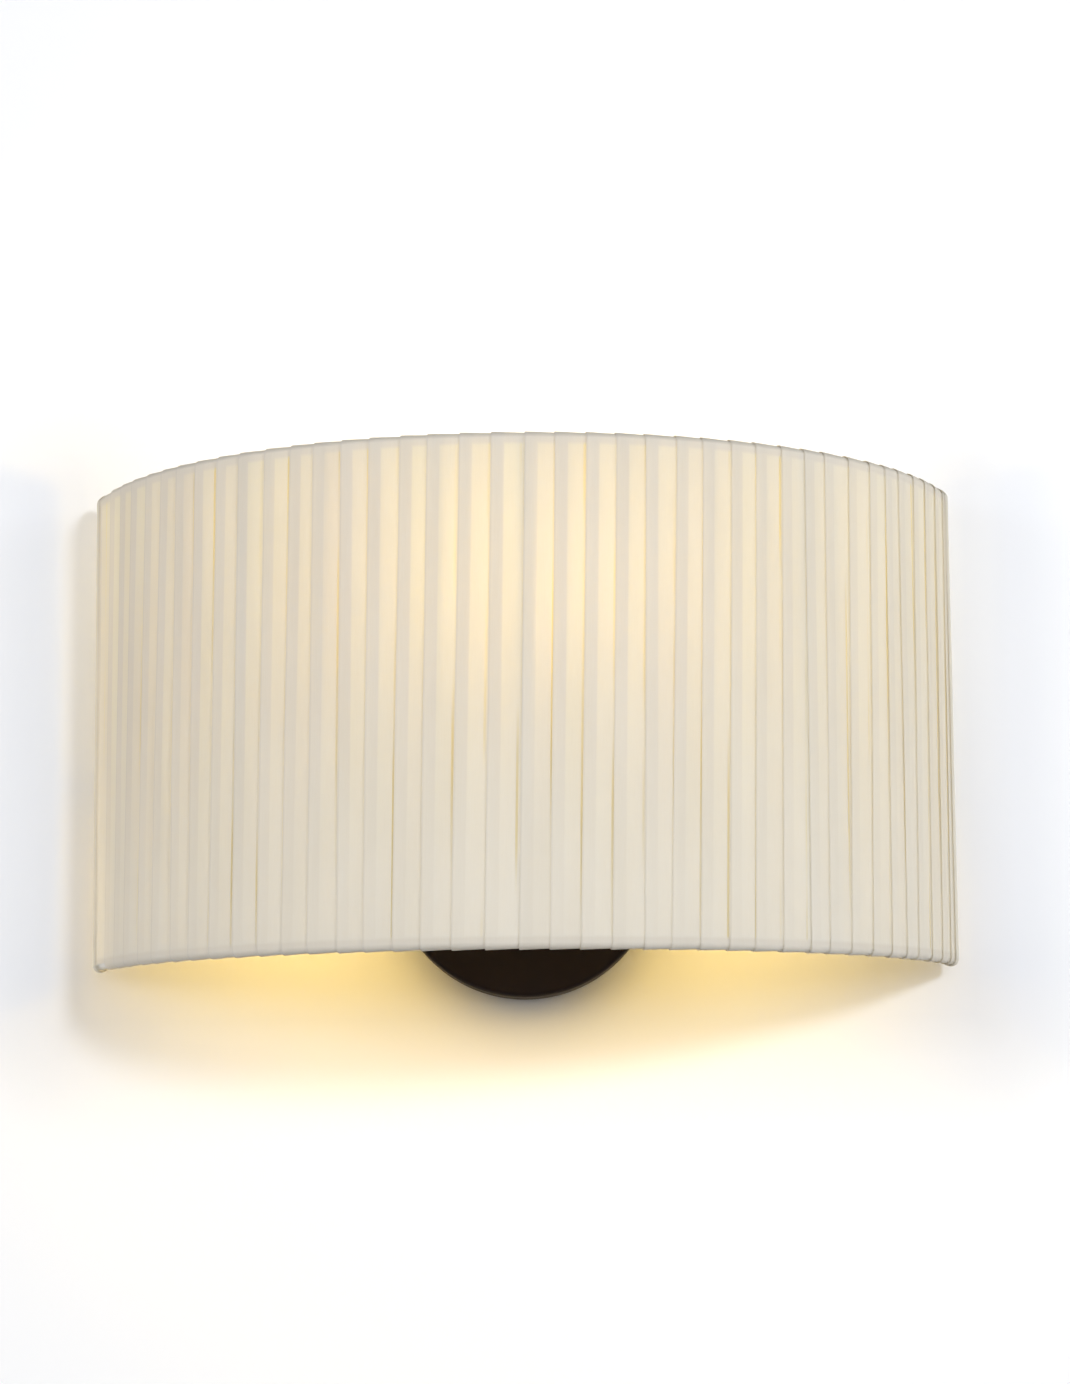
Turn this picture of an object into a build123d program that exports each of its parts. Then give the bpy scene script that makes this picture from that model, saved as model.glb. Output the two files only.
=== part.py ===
from build123d import *
import os
from math import cos, degrees, radians, sin, tan

# Half-drum wall light: a ribbon-wound shade on a wire frame, clamped on the
# lampholder of a short arm that stands out of a round wall canopy.
# Millimetres. Origin: wall plane, centre of the canopy. +Z up, the room is at -Y.

# ---------------------------------------------------------------- driving sizes
# shade
SHADE_RADIUS = 236.0          # outer edge of the ribbons, in plan
SHADE_HALF_ANGLE = 73.0       # from the front of the shade to each of its ends
SHADE_HEIGHT = 250.0
SHADE_DROP = 55.0             # lower edge of the shade, below the canopy's centre
WALL_GAP = 12.0               # shade's ends to the wall
RIBBON_COUNT = 39             # ribbons seen on the outside
RIBBON_THICKNESS = 0.5
LAP_STEP = 0.8                # a ribbon's free edge stands this far over the next
INNER_PASS = 0.9              # lapped ribbon on the inside of the frame
HEM_ROUND = 3.4               # ribbon's turn over the ring wires
END_STRIP_WIDTH = 10.0        # plain strip round each end upright
RING_WIRE = 5.0               # top and bottom wires
UPRIGHT_WIRE = 4.0
UPRIGHT_COUNT = 5             # evenly spaced, one at each end
WIRE_SLACK = 0.15             # ribbon to wire

# fitter, which carries the shade on the lampholder
FITTER_BORE = 41.0
FITTER_DIAMETER = 64.0
FITTER_THICKNESS = 2.0
FITTER_ROD = 4.0
FITTER_ROD_START = 27.5       # rods begin this far from the lampholder's axis
PASSAGE_SLACK = 0.4           # round a rod where it goes through the ribbon

# canopy and wall bracket
CANOPY_DIAMETER = 140.0
CANOPY_DEPTH = 26.0
CANOPY_WALL = 1.2
CANOPY_EDGE_ROUND = 2.6
BRACKET_HEIGHT = 22.0
BRACKET_THICKNESS = 2.0
SLOT_SPACING = 84.0
SLOT_WIDTH = 5.0
SLOT_LENGTH = 14.0
CABLE_ENTRY = 16.0            # diameter
EAR_WIDTH = 14.0
EAR_DEPTH = 17.0
EAR_SLACK = 0.6               # ear to canopy
FIXING_SCREW = 4.0
FIXING_HEAD = 7.0
FIXING_HEAD_HEIGHT = 2.2
HEAD_RIM = 1.0                # upright edge of a screw's head
HEAD_CROWN = 4.4              # flat on top of the head, diameter
CROSS_CUT = 4.2               # for the driver
CROSS_CUT_WIDTH = 0.9
FIXING_LENGTH = 9.0
FIXING_DEPTH = 11.0           # screw axis to the wall
SCREW_SLACK = 0.1             # radial, round a screw's shank
EARTH_SCREW_X = -24.0

# arm
ARM_REACH = 95.0              # lampholder axis to the wall
ARM_TUBE = 12.0
ARM_BORE = 8.0
ARM_THREAD = 10.0
ARM_BEND = 18.0               # radius of the tube's centre line
ARM_THREAD_BACK = 8.0         # threaded end behind the canopy's front sheet
COLLAR_DIAMETER = 26.0
COLLAR_THICKNESS = 8.0
COLLAR_RIM = 2.5              # height of its wide foot
COLLAR_NECK = 1.5             # length of its straight end
COLLAR_WAIST = 15.0           # diameter there
WASHER_DIAMETER = 24.0
WASHER_THICKNESS = 1.5
NUT_ACROSS_FLATS = 14.0
NUT_THICKNESS = 3.5
THREAD_SLACK = 0.1            # radial, between plain-modelled threads

# lampholder, E27
HOLDER_BASE = 22.0            # height of its lower end
HOLDER_NECK_DIAMETER = 16.0
HOLDER_NECK_HEIGHT = 8.0
HOLDER_CAP_HEIGHT = 24.0
HOLDER_SKIRT = 6.0            # straight part of the cap, above its dome
HOLDER_DOME_TILT = 14.0       # dome where it leaves the neck, degrees
HOLDER_SHELL_HEIGHT = 26.0
HOLDER_DIAMETER = 39.6
HOLDER_WALL = 2.0
HOLDER_LIP = 1.8              # turned-in rim that keeps the core
HOLDER_MOUTH = 29.6
HOLDER_BEVEL = 1.0            # on its rim
CORE_SLACK = 0.2
CORE_BASE_HEIGHT = 4.0
CORE_BASE_RISE = 19.0         # underside of the core, above the lampholder's base
SCREW_SHELL_BORE = 27.4
SCREW_SHELL_WALL = 0.6
CONTACT_THICKNESS = 0.6
CONTACT_WIDTH = 6.0
CONTACT_RISE = 3.0
CONTACT_FOOT = 10.0           # leaf's flat end, from the lampholder's axis
CONTACT_HEEL = 3.5            # where the leaf leaves the core
CONTACT_KNEE = 0.5            # where it levels out
CONTACT_NOSE = 5.0            # its free end, past the axis
TERMINAL_SPREAD = 9.0         # terminals each side of the lampholder's axis
TERMINAL_SIZE = (5.0, 6.0, 4.0)
GRUB_SCREW = 3.0
GRUB_LENGTH = 4.0
GRUB_SLOT = (0.6, 0.8)        # width and depth
REST_RING_HEIGHT = 4.0
REST_RING_TOP = 32.0          # seat of the fitter, above the lampholder's base
CLAMP_RING_HEIGHT = 6.5
CLAMP_DIAMETER = 52.0
CLAMP_NOTCHES = 12
CLAMP_NOTCH = 4.0             # diameter of a grip notch
CLAMP_NOTCH_OUT = 1.0         # its centre, outside the ring's edge

# lamp, A60 with E27 cap
LAMP_DIAMETER = 60.0
LAMP_LENGTH = 106.0
LAMP_CAP_DIAMETER = 26.4
LAMP_CAP_LENGTH = 23.0
LAMP_THREAD_PITCH = 3.6
LAMP_THREAD_DEPTH = 0.8
LAMP_THREAD_START = 0.9       # plain rim below the first crest
LAMP_THREAD_FLANK = 1.26      # height of one flank of a crest
LAMP_THREAD_CRESTS = 5
LAMP_CAP_WALL = 0.5
LAMP_TIP_HEIGHT = 0.8
LAMP_TIP_DIAMETER = 9.0
LAMP_TIP_BEVEL = 1.0
LAMP_INSULATOR_HEIGHT = 1.4
LAMP_SEAT_SLACK = 0.2         # tip to the contact spring
LAMP_TAPER = 25.0             # where the ball turns into the neck, degrees
LAMP_SPLIT = 52.0             # lower edge of the opal globe, above the tip
LAMP_NECK_DIAMETER = 28.6
LAMP_SHOULDER = 31.6          # housing's diameter where it starts to open out
LAMP_SHOULDER_RISE = 9.3      # its height above the cap
LAMP_WALL = 1.2
LED_BOARD_SLACK = 0.25        # board to globe
LED_BOARD_THICKNESS = 1.6
LED_COUNT = 8
LED_SIZE = 3.0
LED_HEIGHT = 0.8
LED_CIRCLE = 12.0

# supply terminal block and the lampholder's leads
BLOCK_SIZE = (18.0, 13.0, 20.0)
BLOCK_START = 13.0            # nearer side, from the canopy's centre line
BLOCK_GROOVE = 1.6            # between its two poles
POLE_PITCH = 10.0
POLE_SCREW = 3.2
POLE_SCREW_HEIGHT = 1.6
POLE_SCREW_SPREAD = 4.5
POLE_SLOT = (0.6, 0.4)        # width and depth
LEAD_DIAMETER = 2.2
LEAD_OFFSET = 1.6             # each lead from the middle of the tube
LEAD_DEPTH = 8.0              # leads at the block, from the wall
LEAD_STRAIGHT = 6.0           # straight out of the block
LEAD_BEND = 2.4
LEAD_END = 1.7                # straight into the lampholder's terminal
LEAD_TIGHT_BEND = 1.2

# ---------------------------------------------------------------- worked-out sizes
SHADE_LOW = -SHADE_DROP
SHADE_HIGH = SHADE_HEIGHT - SHADE_DROP
OUTER_PASS = LAP_STEP + RIBBON_THICKNESS
CAVITY = RING_WIRE + 2 * WIRE_SLACK
BAND = OUTER_PASS + CAVITY + INNER_PASS
BAND_INSIDE = SHADE_RADIUS - BAND
CAVITY_OUTSIDE = SHADE_RADIUS - OUTER_PASS
WIRE_RADIUS = CAVITY_OUTSIDE - CAVITY / 2
ARC_Y = -WALL_GAP + BAND_INSIDE * cos(radians(SHADE_HALF_ANGLE))
RING_HIGH = SHADE_HIGH - INNER_PASS - WIRE_SLACK - RING_WIRE / 2
RING_LOW = SHADE_LOW + INNER_PASS + WIRE_SLACK + RING_WIRE / 2
STRIP_ANGLE = degrees(END_STRIP_WIDTH / SHADE_RADIUS)
COVER_HALF_ANGLE = SHADE_HALF_ANGLE - STRIP_ANGLE
STRIP_SKIN_ANGLE = degrees(INNER_PASS / SHADE_RADIUS)
END_UPRIGHT_ANGLE = SHADE_HALF_ANGLE - degrees(
    (INNER_PASS + WIRE_SLACK + UPRIGHT_WIRE / 2) / WIRE_RADIUS
)
REST_TOP = HOLDER_BASE + REST_RING_TOP
FITTER_TOP = REST_TOP + FITTER_THICKNESS
ROD_HEIGHT = REST_TOP - FITTER_ROD / 2
CANOPY_FRONT = -CANOPY_DEPTH
CANOPY_INNER_FRONT = CANOPY_FRONT + CANOPY_WALL
CANOPY_INSIDE = CANOPY_DIAMETER / 2 - CANOPY_WALL
EAR_OUTSIDE = CANOPY_INSIDE - EAR_SLACK
ARM_SHOULDER = CANOPY_FRONT - COLLAR_THICKNESS
HOLDER_SPLIT = HOLDER_BASE + HOLDER_CAP_HEIGHT
HOLDER_RIM = HOLDER_SPLIT + HOLDER_SHELL_HEIGHT
HOLDER_BORE = HOLDER_DIAMETER / 2 - HOLDER_WALL
CORE_LOW = HOLDER_BASE + CORE_BASE_RISE
CORE_FLOOR = CORE_LOW + CORE_BASE_HEIGHT
CORE_HIGH = HOLDER_RIM - HOLDER_LIP - CORE_SLACK
SCREW_SHELL_OUTSIDE = SCREW_SHELL_BORE / 2 + SCREW_SHELL_WALL
CONTACT_TOP = CORE_FLOOR + CONTACT_RISE
LAMP_TIP = CONTACT_TOP + LAMP_SEAT_SLACK
LAMP_CAP_LOW = LAMP_TIP + LAMP_TIP_HEIGHT + LAMP_INSULATOR_HEIGHT
LAMP_CAP_HIGH = LAMP_CAP_LOW + LAMP_CAP_LENGTH
LAMP_TOP = LAMP_TIP + LAMP_LENGTH
LAMP_BALL = LAMP_TOP - LAMP_DIAMETER / 2
LAMP_SPLIT_HEIGHT = LAMP_TIP + LAMP_SPLIT
TERMINAL_LOW = CORE_LOW - TERMINAL_SIZE[2]
THREAD_END = HOLDER_BASE + HOLDER_NECK_HEIGHT + HOLDER_WALL - CORE_SLACK

HOLDER_AXIS = Pos(0, -ARM_REACH, 0)
TOWARDS_WALL = Rot(-90, 0, 0)     # turns +Z into +Y
ALIGN_FOOT = (Align.CENTER, Align.CENTER, Align.MIN)


# ---------------------------------------------------------------- helpers
def in_plan(radius, angle):
    """Point of the shade's plan: angle in degrees from the front, towards +X."""
    turn = radians(angle)
    return (radius * sin(turn), ARC_Y - radius * cos(turn))


def along_arc(section, first, last):
    """Carry a section, drawn in XZ with X as radius, round the shade's axis."""
    swept = revolve(section, Axis.Z, last - first)
    return Pos(0, ARC_Y, 0) * Rot(0, 0, first - 90) * swept


def band_section(inside, outside, low, high, corner):
    """Upright section of the ribbon band, with rounded corners."""
    blank = RectangleRounded(outside - inside, high - low, corner)
    return Plane.XZ * Pos((inside + outside) / 2, (low + high) / 2) * blank


def turned(*outline):
    """Solid of revolution from closed (radius, height) points, about Z."""
    return revolve(Plane.XZ * make_face(Polyline(*outline, close=True)), Axis.Z)


def tube(inner, outer, low, high):
    """Plain ring from inner to outer radius."""
    ring = Circle(outer) - Circle(inner)
    return extrude(Pos(0, 0, low) * ring, high - low)


def rod(start, end, diameter):
    """Straight round rod between two points."""
    run = Line(start, end)
    return sweep((run ^ 0) * Circle(diameter / 2), run)


def along_y(shape, start):
    """Stand a shape made on Z along -Y, its foot at the given Y."""
    return Pos(0, start, 0) * Rot(90, 0, 0) * shape


def write(name, shape):
    """Keep a node as its own file."""
    export_step(shape, f"parts/{name}.step")


# ---------------------------------------------------------------- shade frame
def ring_wire(height):
    """Top or bottom wire: a round rod bent to the shade's arc."""
    reach = END_UPRIGHT_ANGLE + degrees(UPRIGHT_WIRE / 2 / WIRE_RADIUS)
    section = Plane.XZ * Pos(WIRE_RADIUS, height) * Circle(RING_WIRE / 2)
    return along_arc(section, -reach, reach)


def upright(angle):
    """Rod between the two ring wires."""
    low = RING_LOW + RING_WIRE / 2
    high = RING_HIGH - RING_WIRE / 2
    x, y = in_plan(WIRE_RADIUS, angle)
    return Pos(x, y, low) * extrude(Circle(UPRIGHT_WIRE / 2), high - low)


def upright_angles():
    """The uprights divide the arc evenly."""
    step = 2 * END_UPRIGHT_ANGLE / (UPRIGHT_COUNT - 1)
    return [-END_UPRIGHT_ANGLE + step * k for k in range(UPRIGHT_COUNT)]


def fitter_rod_points(angle):
    """Ends of a fitter rod: beside the rest ring, and at the upright."""
    x, y = in_plan(WIRE_RADIUS, angle)
    away = Vector(x, y + ARM_REACH)
    heading = away.normalized()
    near = heading * FITTER_ROD_START
    far = heading * (away.length - UPRIGHT_WIRE / 2)
    centre = Vector(0, -ARM_REACH, ROD_HEIGHT)
    return centre + near, centre + far


def fitter_rod(angle, slack=0.0):
    """Rod from the fitter ring to an upright."""
    near, far = fitter_rod_points(angle)
    return rod(near, far, FITTER_ROD + 2 * slack)


def fitter_ring():
    """Flat ring that sits on the lampholder's rest ring."""
    ring = tube(FITTER_BORE / 2, FITTER_DIAMETER / 2, REST_TOP, FITTER_TOP)
    return HOLDER_AXIS * ring


# ---------------------------------------------------------------- ribbon
def lapped_outline():
    """Plan of the wound ribbons: each free edge stands over the one before."""
    pitch = 2 * COVER_HALF_ANGLE / RIBBON_COUNT
    edge = []
    for k in range(RIBBON_COUNT):
        angle = -COVER_HALF_ANGLE + pitch * k
        edge.append(in_plan(SHADE_RADIUS, angle))
        edge.append(in_plan(SHADE_RADIUS - LAP_STEP, angle + pitch))
    left = in_plan(BAND_INSIDE, -COVER_HALF_ANGLE)
    front = in_plan(BAND_INSIDE, 0)
    right = in_plan(BAND_INSIDE, COVER_HALF_ANGLE)
    laps = Polyline(*edge)
    inside = ThreePointArc(right, front, left)
    sides = Line(edge[-1], right) + Line(left, edge[0])
    return make_face(laps + inside + sides)


def frame_passages():
    """Room for the fitter's rods where they go through the ribbon."""
    angles = upright_angles()
    return [fitter_rod(a, PASSAGE_SLACK) for a in (angles[0], 0, angles[-1])]


def inside_of_band(half_angle):
    """Space between the outer and the inner pass, where the wires run."""
    section = band_section(
        BAND_INSIDE + INNER_PASS,
        CAVITY_OUTSIDE,
        SHADE_LOW + INNER_PASS,
        SHADE_HIGH - INNER_PASS,
        HEM_ROUND - INNER_PASS,
    )
    return along_arc(section, -half_angle, half_angle)


def ribbon_cover():
    """Ribbon wound round the frame: lapped outside, closed over both rings."""
    blank = Pos(0, 0, SHADE_LOW) * extrude(lapped_outline(), SHADE_HEIGHT)
    margin = RIBBON_THICKNESS / 2
    rounding = band_section(
        BAND_INSIDE - margin, SHADE_RADIUS + margin, SHADE_LOW, SHADE_HIGH, HEM_ROUND
    )
    cover = blank & along_arc(rounding, -SHADE_HALF_ANGLE, SHADE_HALF_ANGLE)
    cover -= inside_of_band(SHADE_HALF_ANGLE)
    for passage in frame_passages():
        cover -= passage
    return cover


def end_strip(side):
    """Plain strip folded round an end upright and closed at top and bottom."""
    section = band_section(BAND_INSIDE, SHADE_RADIUS, SHADE_LOW, SHADE_HIGH, HEM_ROUND)
    strip = along_arc(section, COVER_HALF_ANGLE, SHADE_HALF_ANGLE)
    strip -= inside_of_band(SHADE_HALF_ANGLE - STRIP_SKIN_ANGLE)
    if side < 0:
        strip = mirror(strip, Plane.YZ)
    for passage in frame_passages():
        strip -= passage
    return strip


# ---------------------------------------------------------------- wall side
def wall_bracket():
    """Cross strip with two slots, a cable hole and an ear at each end."""
    length = 2 * EAR_OUTSIDE
    flat = Rectangle(length, BRACKET_HEIGHT)
    tips = Rectangle(length, EAR_WIDTH)
    body = Rectangle(length - 4 * BRACKET_THICKNESS, BRACKET_HEIGHT)
    plate = (flat & body) + tips
    plate -= Circle(CABLE_ENTRY / 2)
    plate -= Pos(EARTH_SCREW_X, 0) * Circle(FIXING_SCREW / 2 + SCREW_SLACK)
    for x in (-SLOT_SPACING / 2, SLOT_SPACING / 2):
        plate -= Pos(x, 0) * SlotOverall(SLOT_LENGTH, SLOT_WIDTH)
    strip = along_y(extrude(plate, BRACKET_THICKNESS), 0)
    for side in (-1, 1):
        middle = side * (EAR_OUTSIDE - BRACKET_THICKNESS / 2)
        ear = Box(BRACKET_THICKNESS, EAR_DEPTH, EAR_WIDTH)
        strip += Pos(middle, -EAR_DEPTH / 2, 0) * ear
        hole = Cylinder(FIXING_SCREW / 2 + SCREW_SLACK, 4 * BRACKET_THICKNESS)
        strip -= Pos(middle, -FIXING_DEPTH, 0) * Rot(0, 90, 0) * hole
    return strip


def canopy():
    """Round cup that covers the bracket and carries the arm."""
    outer = CANOPY_DIAMETER / 2
    cup = extrude(Circle(outer), CANOPY_DEPTH)
    cup = fillet(cup.edges().sort_by(Axis.Z)[-1], CANOPY_EDGE_ROUND)
    room = extrude(Circle(outer - CANOPY_WALL), CANOPY_DEPTH - CANOPY_WALL)
    room = chamfer(room.edges().sort_by(Axis.Z)[-1], CANOPY_EDGE_ROUND - CANOPY_WALL)
    cup -= room
    cup -= Cylinder(ARM_THREAD / 2 + THREAD_SLACK, 4 * CANOPY_DEPTH)
    cup = along_y(cup, 0)
    hole = Cylinder(FIXING_SCREW / 2 + SCREW_SLACK, 2 * CANOPY_DIAMETER)
    return cup - Pos(0, -FIXING_DEPTH, 0) * Rot(0, 90, 0) * hole


def pan_head_screw(length):
    """Fixing screw on Z, its seat at 0, with a cross cut for the driver."""
    shank = FIXING_SCREW / 2
    rim = FIXING_HEAD / 2
    high = FIXING_HEAD_HEIGHT
    screw = turned(
        (0, -length), (shank, -length), (shank, 0), (rim, 0), (rim, HEAD_RIM),
        (HEAD_CROWN / 2, high), (0, high),
    )
    across = Box(CROSS_CUT, CROSS_CUT_WIDTH, high)
    return screw - Pos(0, 0, high) * (across + Rot(0, 0, 90) * across)


def canopy_screws():
    """The two screws through the canopy's side into the bracket's ears."""
    screws = []
    seat = CANOPY_DIAMETER / 2
    for side in (-1, 1):
        place = Pos(side * seat, -FIXING_DEPTH, 0) * Rot(0, side * 90, 0)
        screws.append(place * pan_head_screw(FIXING_LENGTH))
    return Compound(children=screws)


def earth_screw():
    """Screw in the bracket for the supply's earth."""
    place = Pos(EARTH_SCREW_X, -BRACKET_THICKNESS, 0) * Rot(90, 0, 0)
    return place * pan_head_screw(BRACKET_THICKNESS)


# ---------------------------------------------------------------- arm
def arm_path(start, end):
    """Centre line of the arm, out of the wall and then up."""
    return FilletPolyline(
        (0, start, 0), (0, -ARM_REACH, 0), (0, -ARM_REACH, end), radius=ARM_BEND
    )


def arm_tube():
    """Bent tube with a turned-down thread at each end, bored through."""
    back = CANOPY_INNER_FRONT + ARM_THREAD_BACK
    path = arm_path(ARM_SHOULDER, HOLDER_BASE)
    bore_path = arm_path(back, THREAD_END)
    body = sweep((path ^ 0) * Circle(ARM_TUBE / 2), path)
    body += rod((0, back, 0), (0, ARM_SHOULDER, 0), ARM_THREAD)
    body += rod((0, -ARM_REACH, HOLDER_BASE), (0, -ARM_REACH, THREAD_END), ARM_THREAD)
    return body - sweep((bore_path ^ 0) * Circle(ARM_BORE / 2), bore_path)


def arm_collar():
    """Turned collar between the arm's shoulder and the canopy."""
    bore = ARM_THREAD / 2 + THREAD_SLACK
    outer = COLLAR_DIAMETER / 2
    waist = COLLAR_WAIST / 2
    profile = turned(
        (bore, 0), (outer, 0), (outer, COLLAR_RIM), (waist, COLLAR_THICKNESS - COLLAR_NECK),
        (waist, COLLAR_THICKNESS), (bore, COLLAR_THICKNESS),
    )
    return along_y(profile, CANOPY_FRONT)


def arm_washer():
    """Washer behind the canopy's front sheet."""
    disc = tube(ARM_THREAD / 2 + THREAD_SLACK, WASHER_DIAMETER / 2, 0, WASHER_THICKNESS)
    return Pos(0, CANOPY_INNER_FRONT, 0) * TOWARDS_WALL * disc


def arm_nut():
    """Hexagon nut that holds arm, collar and canopy together."""
    hexagon = RegularPolygon(NUT_ACROSS_FLATS / 2, 6, major_radius=False)
    blank = extrude(hexagon - Circle(ARM_THREAD / 2 + THREAD_SLACK), NUT_THICKNESS)
    return Pos(0, CANOPY_INNER_FRONT + WASHER_THICKNESS, 0) * TOWARDS_WALL * blank


# ---------------------------------------------------------------- lampholder
def holder_cap():
    """Lower half of the lampholder: threaded neck and dome."""
    bore = ARM_THREAD / 2 + THREAD_SLACK
    neck = HOLDER_NECK_DIAMETER / 2
    outer = HOLDER_DIAMETER / 2
    step = HOLDER_BASE + HOLDER_NECK_HEIGHT
    spring = HOLDER_SPLIT - HOLDER_SKIRT
    floor = step + HOLDER_WALL
    rise = (cos(radians(HOLDER_DOME_TILT)), sin(radians(HOLDER_DOME_TILT)))
    outside = Line((bore, HOLDER_BASE), (neck, HOLDER_BASE))
    outside += Line((neck, HOLDER_BASE), (neck, step))
    outside += TangentArc((neck, step), (outer, spring), tangent=rise)
    outside += Line((outer, spring), (outer, HOLDER_SPLIT))
    outside += Line((outer, HOLDER_SPLIT), (HOLDER_BORE, HOLDER_SPLIT))
    outside += Line((HOLDER_BORE, HOLDER_SPLIT), (HOLDER_BORE, spring))
    outside += TangentArc((neck, floor), (HOLDER_BORE, spring), tangent=rise)
    outside += Line((neck, floor), (bore, floor))
    outside += Line((bore, floor), (bore, HOLDER_BASE))
    cap = revolve(Plane.XZ * make_face(outside), Axis.Z)
    hole = Cylinder(GRUB_SCREW / 2 + SCREW_SLACK, 2 * neck, align=ALIGN_FOOT)
    cap -= Pos(0, 0, HOLDER_BASE + HOLDER_NECK_HEIGHT / 2) * Rot(90, 0, 0) * hole
    return HOLDER_AXIS * cap


def holder_grub_screw():
    """Side screw that stops the lampholder turning on the arm."""
    screw = Cylinder(GRUB_SCREW / 2, GRUB_LENGTH, align=ALIGN_FOOT)
    wide, deep = GRUB_SLOT
    screw -= Pos(0, 0, GRUB_LENGTH) * Box(GRUB_SCREW, wide, 2 * deep)
    place = Pos(0, -ARM_THREAD / 2, HOLDER_BASE + HOLDER_NECK_HEIGHT / 2)
    return HOLDER_AXIS * place * Rot(90, 0, 0) * screw


def holder_shell():
    """Upper half: threaded outside for the rings, rim turned in over the core."""
    outer = HOLDER_DIAMETER / 2
    mouth = HOLDER_MOUTH / 2
    lip = HOLDER_RIM - HOLDER_LIP
    shell = turned(
        (HOLDER_BORE, HOLDER_SPLIT), (outer, HOLDER_SPLIT), (outer, HOLDER_RIM - HOLDER_BEVEL),
        (outer - HOLDER_BEVEL, HOLDER_RIM), (mouth, HOLDER_RIM), (mouth, lip), (HOLDER_BORE, lip),
    )
    return HOLDER_AXIS * shell


def holder_core():
    """Insulating cup that holds the screw shell and the contact."""
    outer = HOLDER_BORE - CORE_SLACK
    bore = SCREW_SHELL_OUTSIDE + CORE_SLACK
    core = turned(
        (0, CORE_LOW), (outer, CORE_LOW), (outer, CORE_HIGH), (bore, CORE_HIGH),
        (bore, CORE_FLOOR), (0, CORE_FLOOR),
    )
    return HOLDER_AXIS * core


def holder_screw_shell():
    """Metal screw shell, its crests drawn as plain rings."""
    rounds = [(SCREW_SHELL_BORE / 2, CORE_FLOOR), (SCREW_SHELL_OUTSIDE, CORE_FLOOR)]
    rounds += [(SCREW_SHELL_OUTSIDE, CORE_HIGH), (SCREW_SHELL_BORE / 2, CORE_HIGH)]
    return HOLDER_AXIS * turned(*rounds)


def centre_contact():
    """Bent spring leaf under the lamp's tip."""
    under = [(-CONTACT_FOOT, 0), (-CONTACT_HEEL, 0)]
    under += [(-CONTACT_KNEE, CONTACT_RISE - CONTACT_THICKNESS)]
    under += [(CONTACT_NOSE, CONTACT_RISE - CONTACT_THICKNESS)]
    over = [(x, z + CONTACT_THICKNESS) for x, z in reversed(under)]
    side = Plane.XZ * Pos(0, CORE_FLOOR) * make_face(Polyline(*under, *over, close=True))
    leaf = extrude(side, CONTACT_WIDTH / 2, both=True)
    return HOLDER_AXIS * leaf


def holder_terminals():
    """Two brass blocks under the core, where the leads end."""
    blocks = []
    for side in (-1, 1):
        block = Box(*TERMINAL_SIZE, align=ALIGN_FOOT)
        place = Pos(side * TERMINAL_SPREAD, -ARM_REACH, TERMINAL_LOW)
        blocks.append(place * block)
    return Compound(children=blocks)


def rest_ring():
    """Lower ring on the shell's thread, the fitter's seat."""
    ring = tube(
        HOLDER_DIAMETER / 2 + THREAD_SLACK,
        CLAMP_DIAMETER / 2,
        REST_TOP - REST_RING_HEIGHT,
        REST_TOP,
    )
    return HOLDER_AXIS * ring


def clamp_ring():
    """Upper ring, screwed down on the fitter; notches give the fingers grip."""
    blank = tube(
        HOLDER_DIAMETER / 2 + THREAD_SLACK,
        CLAMP_DIAMETER / 2,
        FITTER_TOP,
        FITTER_TOP + CLAMP_RING_HEIGHT,
    )
    notch = Cylinder(CLAMP_NOTCH / 2, 4 * CLAMP_RING_HEIGHT)
    for place in PolarLocations(CLAMP_DIAMETER / 2 + CLAMP_NOTCH_OUT, CLAMP_NOTCHES):
        blank -= Pos(0, 0, FITTER_TOP) * place * notch
    return HOLDER_AXIS * blank


# ---------------------------------------------------------------- lamp
def ball_point(radius, angle):
    """Point on the lamp's ball, angle below its equator."""
    turn = radians(angle)
    return (radius * cos(turn), LAMP_BALL - radius * sin(turn))


def below_ball(radius, height):
    """Point on the straight neck that leaves the ball at the taper angle."""
    x, z = ball_point(radius, LAMP_TAPER)
    return (x - (z - height) * tan(radians(LAMP_TAPER)), height)


def lamp_globe():
    """Opal globe: a ball that runs into a straight taper, open below."""
    outer = LAMP_DIAMETER / 2
    inner = outer - LAMP_WALL
    skins = []
    for radius in (outer, inner):
        top = (0, LAMP_BALL + radius)
        side = ball_point(radius, 0)
        join = ball_point(radius, LAMP_TAPER)
        foot = below_ball(radius, LAMP_SPLIT_HEIGHT)
        skins.append((top, side, join, foot))
    profile = Line(skins[0][0], skins[1][0]) + Line(skins[0][3], skins[1][3])
    for top, side, join, foot in skins:
        profile += ThreePointArc(top, side, join)
        profile += Line(join, foot)
    return HOLDER_AXIS * revolve(Plane.XZ * make_face(profile), Axis.Z)


def lamp_housing():
    """White housing between the globe and the cap."""
    foot = below_ball(LAMP_DIAMETER / 2, LAMP_SPLIT_HEIGHT)[0]
    neck = LAMP_NECK_DIAMETER / 2
    shoulder = LAMP_SHOULDER / 2
    middle = LAMP_CAP_HIGH + LAMP_SHOULDER_RISE
    bore = LAMP_CAP_DIAMETER / 2 - LAMP_THREAD_DEPTH - LAMP_CAP_WALL
    housing = turned(
        (bore, LAMP_CAP_HIGH), (neck, LAMP_CAP_HIGH), (shoulder, middle),
        (foot, LAMP_SPLIT_HEIGHT), (foot - LAMP_WALL, LAMP_SPLIT_HEIGHT),
        (shoulder - LAMP_WALL, middle), (bore, LAMP_CAP_HIGH + LAMP_WALL),
    )
    return HOLDER_AXIS * housing


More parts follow.
